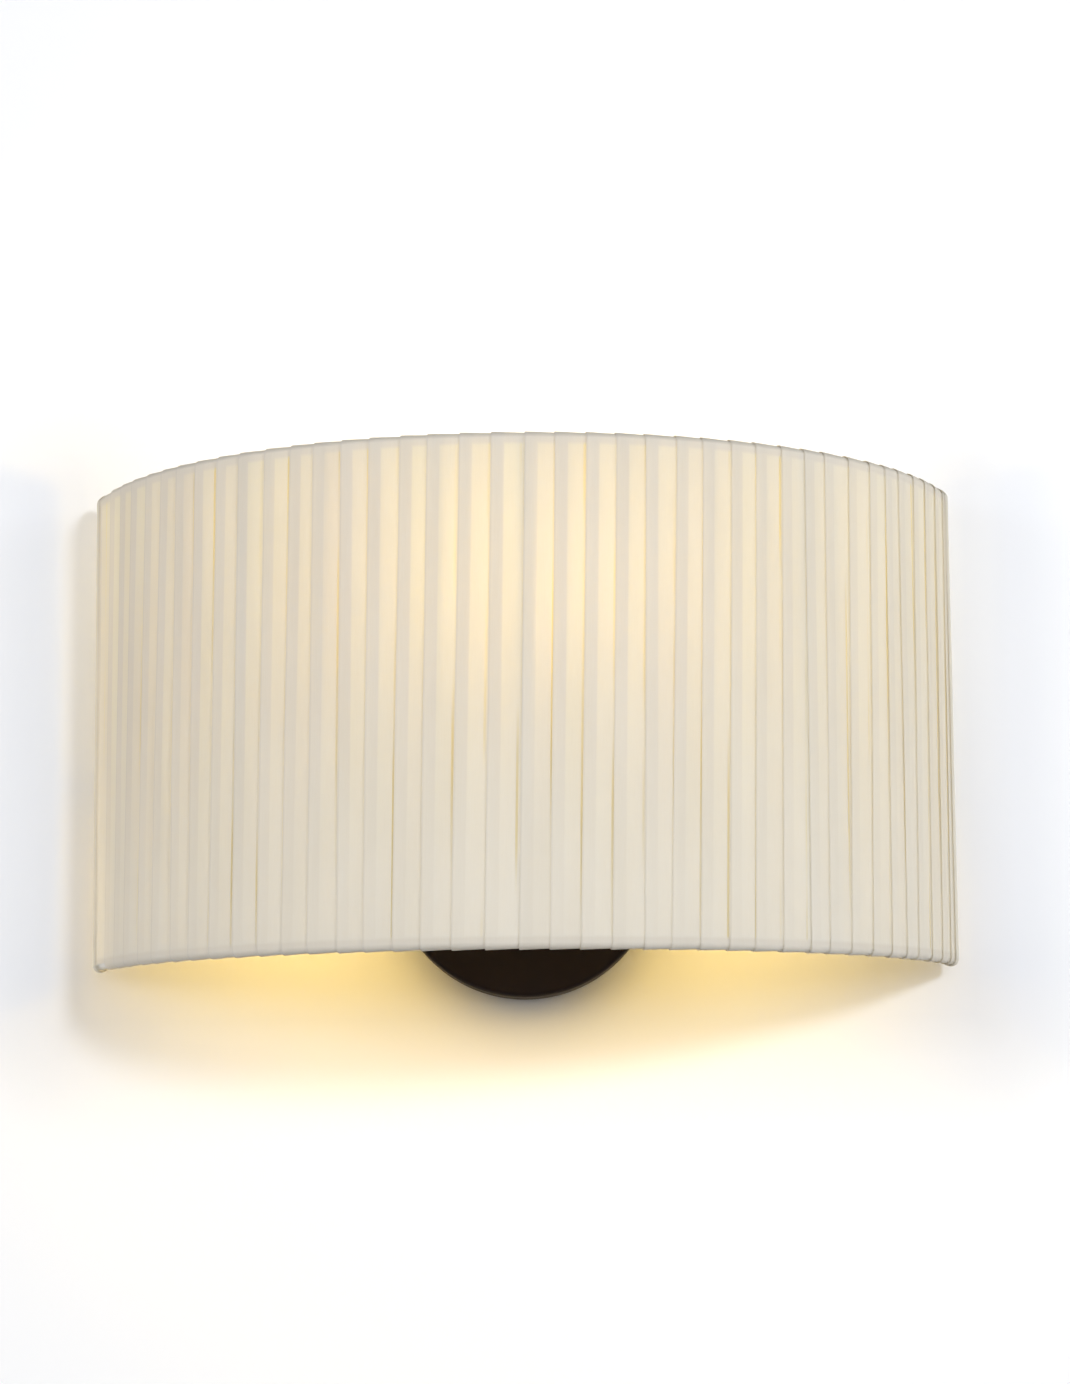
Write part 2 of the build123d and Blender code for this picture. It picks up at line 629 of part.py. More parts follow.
def lamp_cap():
    """Thin metal cap; its thread is drawn as rings of the same pitch."""
    crest = LAMP_CAP_DIAMETER / 2
    root = crest - LAMP_THREAD_DEPTH
    outside = [(root, LAMP_CAP_LOW)]
    for k in range(LAMP_THREAD_CRESTS):
        low = LAMP_CAP_LOW + LAMP_THREAD_START + LAMP_THREAD_PITCH * k
        outside.append((root, low))
        outside.append((crest, low + LAMP_THREAD_FLANK))
        outside.append((root, low + 2 * LAMP_THREAD_FLANK))
    outside.append((root, LAMP_CAP_HIGH))
    inner = root - LAMP_CAP_WALL
    outside += [(inner, LAMP_CAP_HIGH), (inner, LAMP_CAP_LOW)]
    return HOLDER_AXIS * turned(*outside)


def lamp_insulator():
    """Cone of glass between the cap and the tip."""
    wide = LAMP_CAP_DIAMETER / 2 - LAMP_THREAD_DEPTH
    low = LAMP_TIP + LAMP_TIP_HEIGHT
    narrow = LAMP_TIP_DIAMETER / 2
    cone = turned((0, low), (narrow, low), (wide, LAMP_CAP_LOW), (0, LAMP_CAP_LOW))
    return HOLDER_AXIS * cone


def lamp_tip():
    """Solder contact at the end of the lamp."""
    low = LAMP_TIP
    high = low + LAMP_TIP_HEIGHT
    wide = LAMP_TIP_DIAMETER / 2
    tip = turned((0, low), (wide - LAMP_TIP_BEVEL, low), (wide, high), (0, high))
    return HOLDER_AXIS * tip


def led_board():
    """Board across the foot of the globe, with its light sources."""
    low = LAMP_SPLIT_HEIGHT
    wide = below_ball(LAMP_DIAMETER / 2, low)[0] - LAMP_WALL - LED_BOARD_SLACK
    board = extrude(Pos(0, 0, low) * Circle(wide), LED_BOARD_THICKNESS)
    chip = Box(LED_SIZE, LED_SIZE, LED_HEIGHT, align=ALIGN_FOOT)
    for place in PolarLocations(LED_CIRCLE, LED_COUNT):
        board += Pos(0, 0, low + LED_BOARD_THICKNESS) * place * chip
    return HOLDER_AXIS * board


# ---------------------------------------------------------------- wiring
def terminal_block():
    """Two-pole block on the bracket, with wells for its screws and leads."""
    long, deep, tall = BLOCK_SIZE
    centre = Pos(BLOCK_START + long / 2, -BRACKET_THICKNESS - deep / 2, 0)
    block = centre * Box(long, deep, tall)
    block -= centre * Pos(0, -deep / 2, 0) * Box(2 * long, deep, BLOCK_GROOVE)
    for z in (-POLE_PITCH / 2, POLE_PITCH / 2):
        lead = Cylinder(LEAD_DIAMETER / 2 + SCREW_SLACK, long / 2)
        block -= Pos(BLOCK_START, -LEAD_DEPTH, z) * Rot(0, 90, 0) * lead
        block -= Pos(BLOCK_START + long, -LEAD_DEPTH, z) * Rot(0, 90, 0) * lead
    for place in pole_screw_places():
        well = Cylinder(POLE_SCREW / 2 + SCREW_SLACK, 2 * POLE_SCREW_HEIGHT)
        block -= place * well
    return block


def pole_screw_places():
    """Where the block's four screws stand, heads towards the room."""
    front = -BRACKET_THICKNESS - BLOCK_SIZE[1]
    middle = BLOCK_START + BLOCK_SIZE[0] / 2
    places = []
    for x in (middle - POLE_SCREW_SPREAD, middle + POLE_SCREW_SPREAD):
        for z in (-POLE_PITCH / 2, POLE_PITCH / 2):
            places.append(Pos(x, front, z) * Rot(90, 0, 0))
    return places


def terminal_screws():
    """Slotted screws in the block's wells."""
    screws = []
    wide, deep = POLE_SLOT
    for place in pole_screw_places():
        head = Cylinder(POLE_SCREW / 2, POLE_SCREW_HEIGHT)
        head -= Pos(0, 0, POLE_SCREW_HEIGHT / 2) * Box(POLE_SCREW, wide, 2 * deep)
        screws.append(place * Pos(0, 0, -POLE_SCREW_HEIGHT / 2) * head)
    return Compound(children=screws)


def lead(side):
    """Lead from the block through the arm to its terminal in the lampholder."""
    x = side * LEAD_OFFSET
    pole = side * POLE_PITCH / 2
    turn = THREAD_END + LEAD_DIAMETER / 2
    path = FilletPolyline(
        (BLOCK_START, -LEAD_DEPTH, pole),
        (BLOCK_START - LEAD_STRAIGHT, -LEAD_DEPTH, pole),
        (x, -LEAD_DEPTH, 0),
        (x, -ARM_REACH, 0),
        (x, -ARM_REACH, turn),
        (side * TERMINAL_SPREAD, -ARM_REACH, TERMINAL_LOW - LEAD_END),
        (side * TERMINAL_SPREAD, -ARM_REACH, TERMINAL_LOW),
        radius=[LEAD_BEND, 2 * LEAD_BEND, ARM_BEND, LEAD_TIGHT_BEND, LEAD_TIGHT_BEND],
    )
    return sweep((path ^ 0) * Circle(LEAD_DIAMETER / 2), path)


# ---------------------------------------------------------------- nodes
def build():
    """Make every node and write it."""
    os.makedirs("parts", exist_ok=True)
    angles = upright_angles()
    write("shade_ribbon", ribbon_cover())
    write("shade_end_strips", Compound(children=[end_strip(-1), end_strip(1)]))
    write("frame_top_wire", ring_wire(RING_HIGH))
    write("frame_bottom_wire", ring_wire(RING_LOW))
    write("frame_end_uprights", Compound(children=[upright(angles[0]), upright(angles[-1])]))
    write("frame_middle_uprights", Compound(children=[upright(a) for a in angles[1:-1]]))
    write("fitter_ring", fitter_ring())
    write("fitter_front_rod", fitter_rod(0))
    write("fitter_side_rods", Compound(children=[fitter_rod(angles[0]), fitter_rod(angles[-1])]))
    write("wall_bracket", wall_bracket())
    write("earth_screw", earth_screw())
    write("canopy", canopy())
    write("canopy_screws", canopy_screws())
    write("arm_tube", arm_tube())
    write("arm_collar", arm_collar())
    write("arm_washer", arm_washer())
    write("arm_nut", arm_nut())
    write("holder_cap", holder_cap())
    write("holder_grub_screw", holder_grub_screw())
    write("holder_shell", holder_shell())
    write("holder_core", holder_core())
    write("holder_screw_shell", holder_screw_shell())
    write("holder_contact", centre_contact())
    write("holder_terminals", holder_terminals())
    write("shade_rest_ring", rest_ring())
    write("shade_clamp_ring", clamp_ring())
    write("bulb_globe", lamp_globe())
    write("bulb_housing", lamp_housing())
    write("bulb_cap", lamp_cap())
    write("bulb_insulator", lamp_insulator())
    write("bulb_tip", lamp_tip())
    write("bulb_led_board", led_board())
    write("terminal_block", terminal_block())
    write("terminal_screws", terminal_screws())
    write("live_lead", lead(-1))
    write("neutral_lead", lead(1))


build()
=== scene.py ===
"""Half-drum wall light with a ribbon-wound shade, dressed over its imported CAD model.

Every size below is in millimetres and is turned into metres where a mesh, a finish or a lamp
is made.
The frame is the part's own: wall plane at y = 0, room at -Y, up is +Z, and the origin is the
middle of the canopy.
"""

import logging
import math
from dataclasses import dataclass, field
from enum import Enum

import bpy
import numpy as np
from mathutils import Euler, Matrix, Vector

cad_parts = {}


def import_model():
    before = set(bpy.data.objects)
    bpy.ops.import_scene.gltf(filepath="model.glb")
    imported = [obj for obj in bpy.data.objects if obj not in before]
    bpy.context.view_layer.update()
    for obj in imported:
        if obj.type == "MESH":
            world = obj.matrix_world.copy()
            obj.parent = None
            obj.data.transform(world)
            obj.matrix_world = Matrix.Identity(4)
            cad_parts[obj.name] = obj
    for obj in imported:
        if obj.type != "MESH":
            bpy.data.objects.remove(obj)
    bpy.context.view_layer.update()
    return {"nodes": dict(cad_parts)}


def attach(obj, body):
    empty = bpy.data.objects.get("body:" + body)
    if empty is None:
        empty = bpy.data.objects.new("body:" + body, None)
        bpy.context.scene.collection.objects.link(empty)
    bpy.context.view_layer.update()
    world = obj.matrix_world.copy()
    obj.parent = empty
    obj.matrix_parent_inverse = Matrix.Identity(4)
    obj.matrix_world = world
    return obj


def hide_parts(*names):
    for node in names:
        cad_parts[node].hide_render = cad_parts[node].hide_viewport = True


LOG = logging.getLogger("wall_light")
MM = 0.001

Colour = tuple[float, float, float]
Place = tuple[float, float, float]


def metres(*sizes: float) -> tuple[float, ...]:
    """Turn sizes in millimetres into metres."""
    return tuple(size * MM for size in sizes)


# ------------------------------------------------------------------ node trees
class NodeBoard:
    """A node tree with short ways to add nodes and to join them."""

    def __init__(self, tree: bpy.types.NodeTree) -> None:
        """Keep the tree of a material, a world or a node group."""
        self.tree = tree

    def add(self, kind: str, **settings: object) -> bpy.types.Node:
        """Add a node.

        Args:
            kind: Blender's name of the node type.
            settings: Values for the node's own attributes.

        Returns:
            The new node.
        """
        node = self.tree.nodes.new(kind)
        for name, value in settings.items():
            setattr(node, name, value)
        return node

    def feed(self, socket: bpy.types.NodeSocket, value: object) -> None:
        """Put a value on a socket, or join another node's socket to it.

        Args:
            socket: The input.
            value: A number, a colour, a vector or an output socket.
        """
        if isinstance(value, bpy.types.NodeSocket):
            self.tree.links.new(value, socket)
        else:
            socket.default_value = value

    def fill(self, node: bpy.types.Node, values: dict[str, object]) -> None:
        """Feed several inputs of a node, each by its name."""
        for name, value in values.items():
            self.feed(node.inputs[name], value)

    def end(self, shader: bpy.types.Node, kind: str = "ShaderNodeOutputMaterial") -> None:
        """Join the last shader to a new output node."""
        self.feed(self.add(kind).inputs[0], shader.outputs[0])

    def maths(self, operation: str, *values: object) -> bpy.types.NodeSocket:
        """Add a Math node.

        Args:
            operation: Blender's name of the operation.
            values: Numbers or sockets, in the node's order.

        Returns:
            Its output.
        """
        node = self.add("ShaderNodeMath", operation=operation)
        for socket, value in zip(node.inputs, values):
            self.feed(socket, value)
        return node.outputs[0]

    def axes(self, vector: object) -> tuple[bpy.types.NodeSocket, ...]:
        """Split coordinates.

        Args:
            vector: Socket with the coordinates.

        Returns:
            x, y and z.
        """
        node = self.add("ShaderNodeSeparateXYZ")
        self.feed(node.inputs[0], vector)
        return tuple(node.outputs)

    def stretched(self, vector: object, scale: Place) -> bpy.types.NodeSocket:
        """Scale coordinates, each axis by itself.

        Args:
            vector: Socket with the coordinates.
            scale: Factor on each axis.

        Returns:
            The scaled coordinates.
        """
        node = self.add("ShaderNodeMapping")
        self.feed(node.inputs["Vector"], vector)
        node.inputs["Scale"].default_value = scale
        return node.outputs["Vector"]

    def noise(
        self, vector: object, scale: object = 1.0, detail: float = 2.0
    ) -> bpy.types.NodeSocket:
        """Add a noise texture.

        Args:
            vector: Socket with the coordinates.
            scale: Cells per unit of the coordinates.
            detail: Octaves.

        Returns:
            The noise, from 0 to 1.
        """
        node = self.add("ShaderNodeTexNoise")
        self.fill(node, {"Vector": vector, "Scale": scale, "Detail": detail})
        return node.outputs["Fac"]

    def blend(self, share: object, first: object, second: object) -> bpy.types.NodeSocket:
        """Mix two colours.

        Args:
            share: How much of the second colour.
            first: Colour, or socket.
            second: Colour, or socket.

        Returns:
            The mixed colour.
        """
        node = self.add("ShaderNodeMix", data_type="RGBA")
        self.feed(node.inputs["Factor"], share)
        # The node has a pair of inputs and an output for each kind of value; these are colours.
        for socket, value in ((node.inputs[6], first), (node.inputs[7], second)):
            self.feed(socket, (*value, 1.0) if isinstance(value, tuple) else value)
        return node.outputs[2]

    def mixed(
        self, share: object, first: bpy.types.Node, second: bpy.types.Node
    ) -> bpy.types.Node:
        """Mix two shaders.

        Args:
            share: How much of the second shader.
            first: Shader.
            second: Shader.

        Returns:
            The mixed shader.
        """
        node = self.add("ShaderNodeMixShader")
        for socket, value in zip(node.inputs, (share, first.outputs[0], second.outputs[0])):
            self.feed(socket, value)
        return node

    def bump(self, height: object, strength: float, relief: float) -> bpy.types.NodeSocket:
        """Turn a height over the surface into its normal.

        Args:
            height: Socket with the height.
            strength: Share of the relief that shows.
            relief: Height in millimetres of a rise from 0 to 1.

        Returns:
            The normal.
        """
        node = self.add("ShaderNodeBump")
        self.fill(node, {"Height": height, "Strength": strength, "Distance": relief * MM})
        return node.outputs[0]

    def span(
        self, value: object, source: tuple[float, float], target: tuple[float, float]
    ) -> bpy.types.NodeSocket:
        """Carry a value from one range to another, held at the ends.

        Args:
            value: Socket with the value.
            source: Range it comes in.
            target: Range it goes out in.

        Returns:
            The value in the target range.
        """
        node = self.add("ShaderNodeMapRange")
        for socket, number in zip(node.inputs, (value, *source, *target)):
            self.feed(socket, number)
        return node.outputs[0]


class SharedEffects:
    """Node groups that more than one finish uses, each built once."""

    def __init__(self) -> None:
        """Build the groups."""
        self.weave = self._weave()
        self.laps = self._laps()
        self.grain = self._grain()

    @staticmethod
    def _group(
        name: str, vectors: tuple[str, ...], numbers: tuple[str, ...], results: tuple[str, ...]
    ) -> tuple[NodeBoard, bpy.types.Node, bpy.types.Node]:
        """Start a group with named sockets.

        Args:
            name: Name of the group.
            vectors: Names of its vector inputs.
            numbers: Names of its number inputs.
            results: Names of its outputs, which are numbers.

        Returns:
            The group's board, and its input and output nodes.
        """
        board = NodeBoard(bpy.data.node_groups.new(name, "ShaderNodeTree"))
        sockets = (
            ("INPUT", "NodeSocketVector", vectors),
            ("INPUT", "NodeSocketFloat", numbers),
            ("OUTPUT", "NodeSocketFloat", results),
        )
        for side, kind, titles in sockets:
            for title in titles:
                board.tree.interface.new_socket(title, in_out=side, socket_type=kind)
        return board, board.add("NodeGroupInput"), board.add("NodeGroupOutput")

    def _weave(self) -> bpy.types.NodeTree:
        """Woven ribbon: threads, slubs, broad unevenness and selvedge.

        The height is the product of two cosines, one across the ribbon and one along it, as
        warp and weft pass over each other. The coordinates are metres: x across, y along.

        Returns:
            The group.
        """
        board, source, result = self._group(
            "ribbon_weave", ("Vector",), ("Width", "Thread"), ("Height", "Tone", "Selvedge")
        )
        slub_cells, cloud_cells = (1500.0, 70.0, 1.0), (45.0, 9.0, 1.0)
        selvedge_from, tone_from = metres(0.5, 1.1), (0.55, 1.05)
        thread_height, slub_height, slub_tone = 0.6, 0.5, 0.6

        vector = source.outputs["Vector"]
        across, along, _ = board.axes(vector)
        turns = board.maths("DIVIDE", 2 * math.pi, source.outputs["Thread"])
        warp = board.maths("COSINE", board.maths("MULTIPLY", across, turns))
        weft = board.maths("COSINE", board.maths("MULTIPLY", along, turns))
        plain = board.maths("MULTIPLY", warp, weft)
        slub = board.noise(board.stretched(vector, slub_cells))
        cloud = board.noise(board.stretched(vector, cloud_cells))
        to_far_edge = board.maths("SUBTRACT", source.outputs["Width"], across)
        to_edge = board.maths("MINIMUM", across, to_far_edge)
        selvedge = board.span(to_edge, selvedge_from, (1.0, 0.0))
        threads = board.span(plain, (-1.0, 1.0), (0.0, thread_height))
        height = board.maths("ADD", threads, board.maths("MULTIPLY", slub, slub_height))
        height = board.maths("ADD", height, selvedge)
        tone = board.maths("ADD", board.maths("MULTIPLY", slub, slub_tone), cloud)
        tone = board.span(tone, tone_from, (0.0, 1.0))
        board.fill(result, {"Height": height, "Tone": tone, "Selvedge": selvedge})
        return board.tree

    def _laps(self) -> bpy.types.NodeTree:
        """Painted light and shade of a wound ribbon: laps, wires, leak lines and the top fold.

        Across, the light let through is painted darker up to the width of the lap, where the
        ribbon lies double, and a painted line of leak light stands in front of the next turn's
        edge, here more and there less. Up and down, a painted wire shadow darkens it above and
        below the two heights. Low down and to the right, the painted lap shade fades and the
        painted glow turns paler, and the fold over the top wire gets painted shade in its colour.

        Returns:
            The group, with cloth coordinates, object coordinates and sizes in metres.
        """
        board, source, result = self._group(
            "ribbon_laps",
            ("Vector", "Place"),
            ("Pitch", "Lapped", "Low", "High"),
            ("Doubled", "Leak", "Crest", "Shade", "PaintedGlowRise"),
        )
        lap_edge, painted_wire_shadow_edge, painted_crest_shade_edge = metres(-0.3, 0.5), metres(-0.6, 1.0), metres(3.2, 5.0)
        # place, width and patches of the painted leak line
        painted_leak_middle, painted_leak_half = metres(0.5, 0.6)
        painted_leak_cells, turn_cells = (0.0, 6.5, 1.0), (0.0, 2.6, 1.0)
        # ranges and shares of the painted fade, low down and to the right
        painted_fade_from, painted_fade_right_from = (0.10, 0.52), metres(50.0, 200.0)
        painted_lap_shade_low, painted_fade_right = 0.35, 0.45
        patch_from, tone_from = (0.46, 0.60), (0.36, 0.64)

        vector = source.outputs["Vector"]
        across, _, _ = board.axes(vector)
        sideways, _, height = board.axes(source.outputs["Place"])
        past = board.maths("SUBTRACT", across, source.outputs["Lapped"])
        above = board.maths("SUBTRACT", height, source.outputs["High"])
        below = board.maths("SUBTRACT", source.outputs["Low"], height)
        between = board.maths("SUBTRACT", source.outputs["High"], source.outputs["Low"])
        climb = board.maths("DIVIDE", board.maths("MULTIPLY", below, -1.0), between)
        # the painted lap shade and the paler painted glow fade low down and to the right
        painted_fade_rightward = board.span(sideways, painted_fade_right_from, (1.0, painted_fade_right))
        rise = board.maths("MULTIPLY", board.span(climb, painted_fade_from, (0.0, 1.0)), painted_fade_rightward)
        painted_lap_shade_fade = board.maths("MULTIPLY", board.span(climb, painted_fade_from, (painted_lap_shade_low, 1.0)), painted_fade_rightward)
        # painted shade where the ribbon lies double
        doubled = board.maths("MULTIPLY", board.span(past, lap_edge, (1.0, 0.0)), painted_lap_shade_fade)
        # painted wire shadow above and below the wires' heights
        painted_wire_shadow = board.span(board.maths("MAXIMUM", above, below), painted_wire_shadow_edge, (0.0, 1.0))
        # painted shade on the fold over the top wire, which faces up
        crest = board.span(above, painted_crest_shade_edge, (0.0, 1.0))
        # painted leak light: a thin line before the next turn's edge, in patches
        left = board.maths("SUBTRACT", source.outputs["Pitch"], across)
        line = board.maths("COMPARE", left, painted_leak_middle, painted_leak_half)
        patch = board.noise(board.stretched(vector, painted_leak_cells))
        strength = board.span(patch, patch_from, (0.0, 1.0))
        open_part = board.maths("MULTIPLY", line, board.maths("SUBTRACT", 1.0, painted_wire_shadow))
        leak = board.maths("MULTIPLY", open_part, strength)
        turn_tone = board.noise(board.stretched(vector, turn_cells), detail=1.0)
        shade = board.span(turn_tone, tone_from, (0.0, 1.0))
        board.fill(result, {"Doubled": board.maths("MAXIMUM", doubled, painted_wire_shadow), "Leak": leak})
        board.fill(result, {"Crest": crest, "Shade": shade, "PaintedGlowRise": rise})
        return board.tree

    def _grain(self) -> bpy.types.NodeTree:
        """Fine surface grain with a slow drift over it, for paint, metal and mouldings.

        Returns:
            The group, with coordinates in metres and the grain's size as input.
        """
        board, source, result = self._group(
            "surface_grain", ("Vector",), ("Size",), ("Height", "Drift")
        )
        drift_cells, drift_from, detail = 55.0, (0.3, 0.7), 3.0

        vector = source.outputs["Vector"]
        fine_cells = board.maths("DIVIDE", 1.0, source.outputs["Size"])
        fine = board.noise(vector, fine_cells, detail)
        drift = board.span(board.noise(vector, drift_cells, detail), drift_from, (0.0, 1.0))
        board.fill(result, {"Height": fine, "Drift": drift})
        return board.tree


# ------------------------------------------------------------------ finishes
def new_material(name: str) -> tuple[bpy.types.Material, NodeBoard]:
    """Make an empty material.

    Args:
        name: Name of the finish.

    Returns:
        The material and its board.
    """
    material = bpy.data.materials.new(name)
    material.use_nodes = True
    material.node_tree.nodes.clear()
    return material, NodeBoard(material.node_tree)


@dataclass(frozen=True)
class RibbonCloth:
    """Woven ribbon that lets light through, with painted light and shade in its colours."""

    name: str
    pale: Colour = (0.94, 0.92, 0.875)
    deep: Colour = (0.90, 0.87, 0.81)
    through: Colour = (0.97, 0.905, 0.55)
    through_dull: Colour = (0.93, 0.825, 0.56)
    # painted shade: less light let through where the ribbon lies double or on a wire
    doubled: Colour = (0.78, 0.70, 0.53)
    # painted leak light: a golden line beside the lap edges
    leak: Colour = (1.0, 0.90, 0.42)
    # painted glow: paler light let through low down and to the right
    painted_low_through: Colour = (0.96, 0.92, 0.78)
    # painted shade: darker face colour on the fold over the top wire
    crest: Colour = (0.60, 0.58, 0.55)
    let_through: float = 0.35
    leak_through: float = 0.66
    thread: float = 0.36
    width: float = 21.3
    pitch: float = 15.0
    lapped: float = 6.3
    wires: tuple[float, float] = (-48.6, 188.6)
    # darker edge line: the denser selvedge, partly painted shadow of the lap step
    selvedge_shade_share: float = 0.35
    selvedge_shade_tone: float = 0.80
    bump: float = 0.35
    relief: float = 0.08
    rough: float = 0.9
    shine: float = 0.15
    sheen: float = 0.08
    sheen_rough: float = 0.5

    def make(self, effects: SharedEffects) -> bpy.types.Material:
        """Build the material.

        Args:
            effects: Shared node groups.

        Returns:
            The material, which follows the piece's own UV map in metres.
        """
        material, board = new_material(self.name)
        where = board.add("ShaderNodeUVMap", uv_map=UV_NAME)
        weave = board.add("ShaderNodeGroup", node_tree=effects.weave)
        width, thread, pitch, lapped = metres(self.width, self.thread, self.pitch, self.lapped)
        board.fill(weave, {"Vector": where.outputs[0], "Width": width, "Thread": thread})
        tone = board.blend(weave.outputs["Tone"], self.deep, self.pale)
        # darker edge line: the denser selvedge, partly painted shadow of the lap step
        selvedge_shade_mix = board.maths("MULTIPLY", weave.outputs["Selvedge"], self.selvedge_shade_share)
        selvedge_shade_colour = tuple(self.selvedge_shade_tone * c for c in self.deep)
        lap = board.add("ShaderNodeGroup", node_tree=effects.laps)
        place = board.add("ShaderNodeTexCoord")
        low, high = metres(*self.wires)
        board.fill(lap, {"Vector": where.outputs[0], "Place": place.outputs["Object"]})
        board.fill(lap, {"Pitch": pitch, "Lapped": lapped, "Low": low, "High": high})
        # the painted shade of the top fold goes into the face colour here
        face = board.blend(
            lap.outputs["Crest"], board.blend(selvedge_shade_mix, tone, selvedge_shade_colour), self.crest
        )
        # painted glow: light let through, uneven from turn to turn, paler low down and to the
        # right
        uneven = board.blend(lap.outputs["Shade"], self.through_dull, self.through)
        single = board.blend(lap.outputs["PaintedGlowRise"], self.painted_low_through, uneven)
        # painted shade: darker light let through on the laps and over the wires
        either = board.blend(lap.outputs["Doubled"], single, self.doubled)
        # painted leak light along the lap edges
        behind = board.blend(lap.outputs["Leak"], either, self.leak)
        # the darker edge line also darkens the light let through
        inside = board.blend(selvedge_shade_mix, behind, selvedge_shade_colour)
        normal = board.bump(weave.outputs["Height"], self.bump, self.relief)
        cloth = board.add("ShaderNodeBsdfPrincipled")
        board.fill(cloth, {"Base Color": face, "Normal": normal})
        board.fill(cloth, {"Roughness": self.rough, "Specular IOR Level": self.shine})
        board.fill(cloth, {"Sheen Weight": self.sheen, "Sheen Roughness": self.sheen_rough})
        glow = board.add("ShaderNodeBsdfTranslucent")
        board.feed(glow.inputs["Color"], inside)
        # more light let through along the painted leak line
        clearness = (self.let_through, self.leak_through)
        share = board.span(lap.outputs["Leak"], (0.0, 1.0), clearness)
        board.end(board.mixed(share, cloth, glow))
        return material


@dataclass(frozen=True)
class HardFinish:
    """Paint, metal or moulding: two close tones, a grain and an even or patchy gloss."""

    name: str
    light: Colour
    dark: Colour
    rough: tuple[float, float] = (0.4, 0.5)
    metal: float = 0.0
    grain: float = 0.6
    bump: float = 0.1
    relief: float = 0.05
    shine: float = 0.5
    coat: float = 0.0
    coat_rough: float = 0.12
    glow: Colour | None = None
    glow_strength: float = 0.0

    def make(self, effects: SharedEffects) -> bpy.types.Material:
        """Build the material.

        Args:
            effects: Shared node groups.

        Returns:
            The material, on Object coordinates.
        """
        material, board = new_material(self.name)
        where = board.add("ShaderNodeTexCoord")
        grain = board.add("ShaderNodeGroup", node_tree=effects.grain)
        board.fill(grain, {"Vector": where.outputs["Object"], "Size": self.grain * MM})
        drift = grain.outputs["Drift"]
        surface = board.add("ShaderNodeBsdfPrincipled")
        board.feed(surface.inputs["Base Color"], board.blend(drift, self.dark, self.light))
        board.feed(surface.inputs["Roughness"], board.span(drift, (0.0, 1.0), self.rough))
        board.fill(surface, {"Metallic": self.metal, "Specular IOR Level": self.shine})
        board.fill(surface, {"Coat Weight": self.coat, "Coat Roughness": self.coat_rough})
        normal = board.bump(grain.outputs["Height"], self.bump, self.relief)
        board.feed(surface.inputs["Normal"], normal)
        if self.glow is not None:
            glow = (*self.glow, 1.0)
            board.fill(surface, {"Emission Color": glow, "Emission Strength": self.glow_strength})
        board.end(surface)
        return material


class Finish(Enum):
    """Finishes of the nodes that keep their CAD shape."""

    ENAMEL = HardFinish(
        "white_enamel", (0.90, 0.89, 0.86), (0.84, 0.825, 0.78), (0.28, 0.40), coat=0.3
    )
    CANOPY = HardFinish(
        "dark_powder_coat",
        (0.0165, 0.0078, 0.0058),
        (0.0125, 0.0057, 0.0042),
        (0.55, 0.66),
        grain=0.45,
        bump=0.35,
        relief=0.08,
        shine=0.22,
    )
    ZINC = HardFinish(
        "zinc_plate", (0.62, 0.62, 0.60), (0.50, 0.50, 0.49), (0.28, 0.46), metal=1.0
    )
    BRASS = HardFinish(
        "plain_brass", (0.80, 0.62, 0.30), (0.66, 0.47, 0.20), (0.22, 0.38), metal=1.0
    )
    BLACK_MOULDING = HardFinish(
        "black_moulding", (0.035, 0.031, 0.028), (0.026, 0.023, 0.021), (0.36, 0.48), bump=0.25
    )
    CERAMIC = HardFinish(
        "glazed_insulator", (0.86, 0.84, 0.79), (0.80, 0.775, 0.71), (0.22, 0.32), coat=0.5
    )
    OPAL = HardFinish(
        "opal_globe",
        (0.95, 0.93, 0.88),
        (0.93, 0.90, 0.84),
        (0.26, 0.32),
        bump=0.04,
        glow=(1.0, 0.80, 0.47),
        glow_strength=2.2,
    )
    WHITE_MOULDING = HardFinish(
        "white_moulding", (0.91, 0.905, 0.89), (0.86, 0.85, 0.82), (0.30, 0.40), bump=0.1
    )
    ROLLED_CAP = HardFinish(
        "rolled_cap", (0.74, 0.74, 0.73), (0.62, 0.62, 0.61), (0.25, 0.42), metal=1.0
    )
    BLACK_GLASS = HardFinish(
        "black_glass", (0.02, 0.02, 0.022), (0.015, 0.015, 0.016), (0.08, 0.12), coat=0.5
    )
    BOARD = HardFinish(
        "white_board", (0.88, 0.88, 0.85), (0.82, 0.82, 0.78), (0.34, 0.44), grain=0.9
    )
    NYLON = HardFinish(
        "natural_nylon", (0.88, 0.87, 0.82), (0.80, 0.785, 0.72), (0.38, 0.50), bump=0.15
    )
    BROWN_LEAD = HardFinish(
        "brown_insulation", (0.30, 0.155, 0.085), (0.235, 0.115, 0.06), (0.38, 0.5), bump=0.15
    )
    BLUE_LEAD = HardFinish(
        "blue_insulation", (0.095, 0.25, 0.54), (0.07, 0.19, 0.44), (0.38, 0.5), bump=0.15
    )


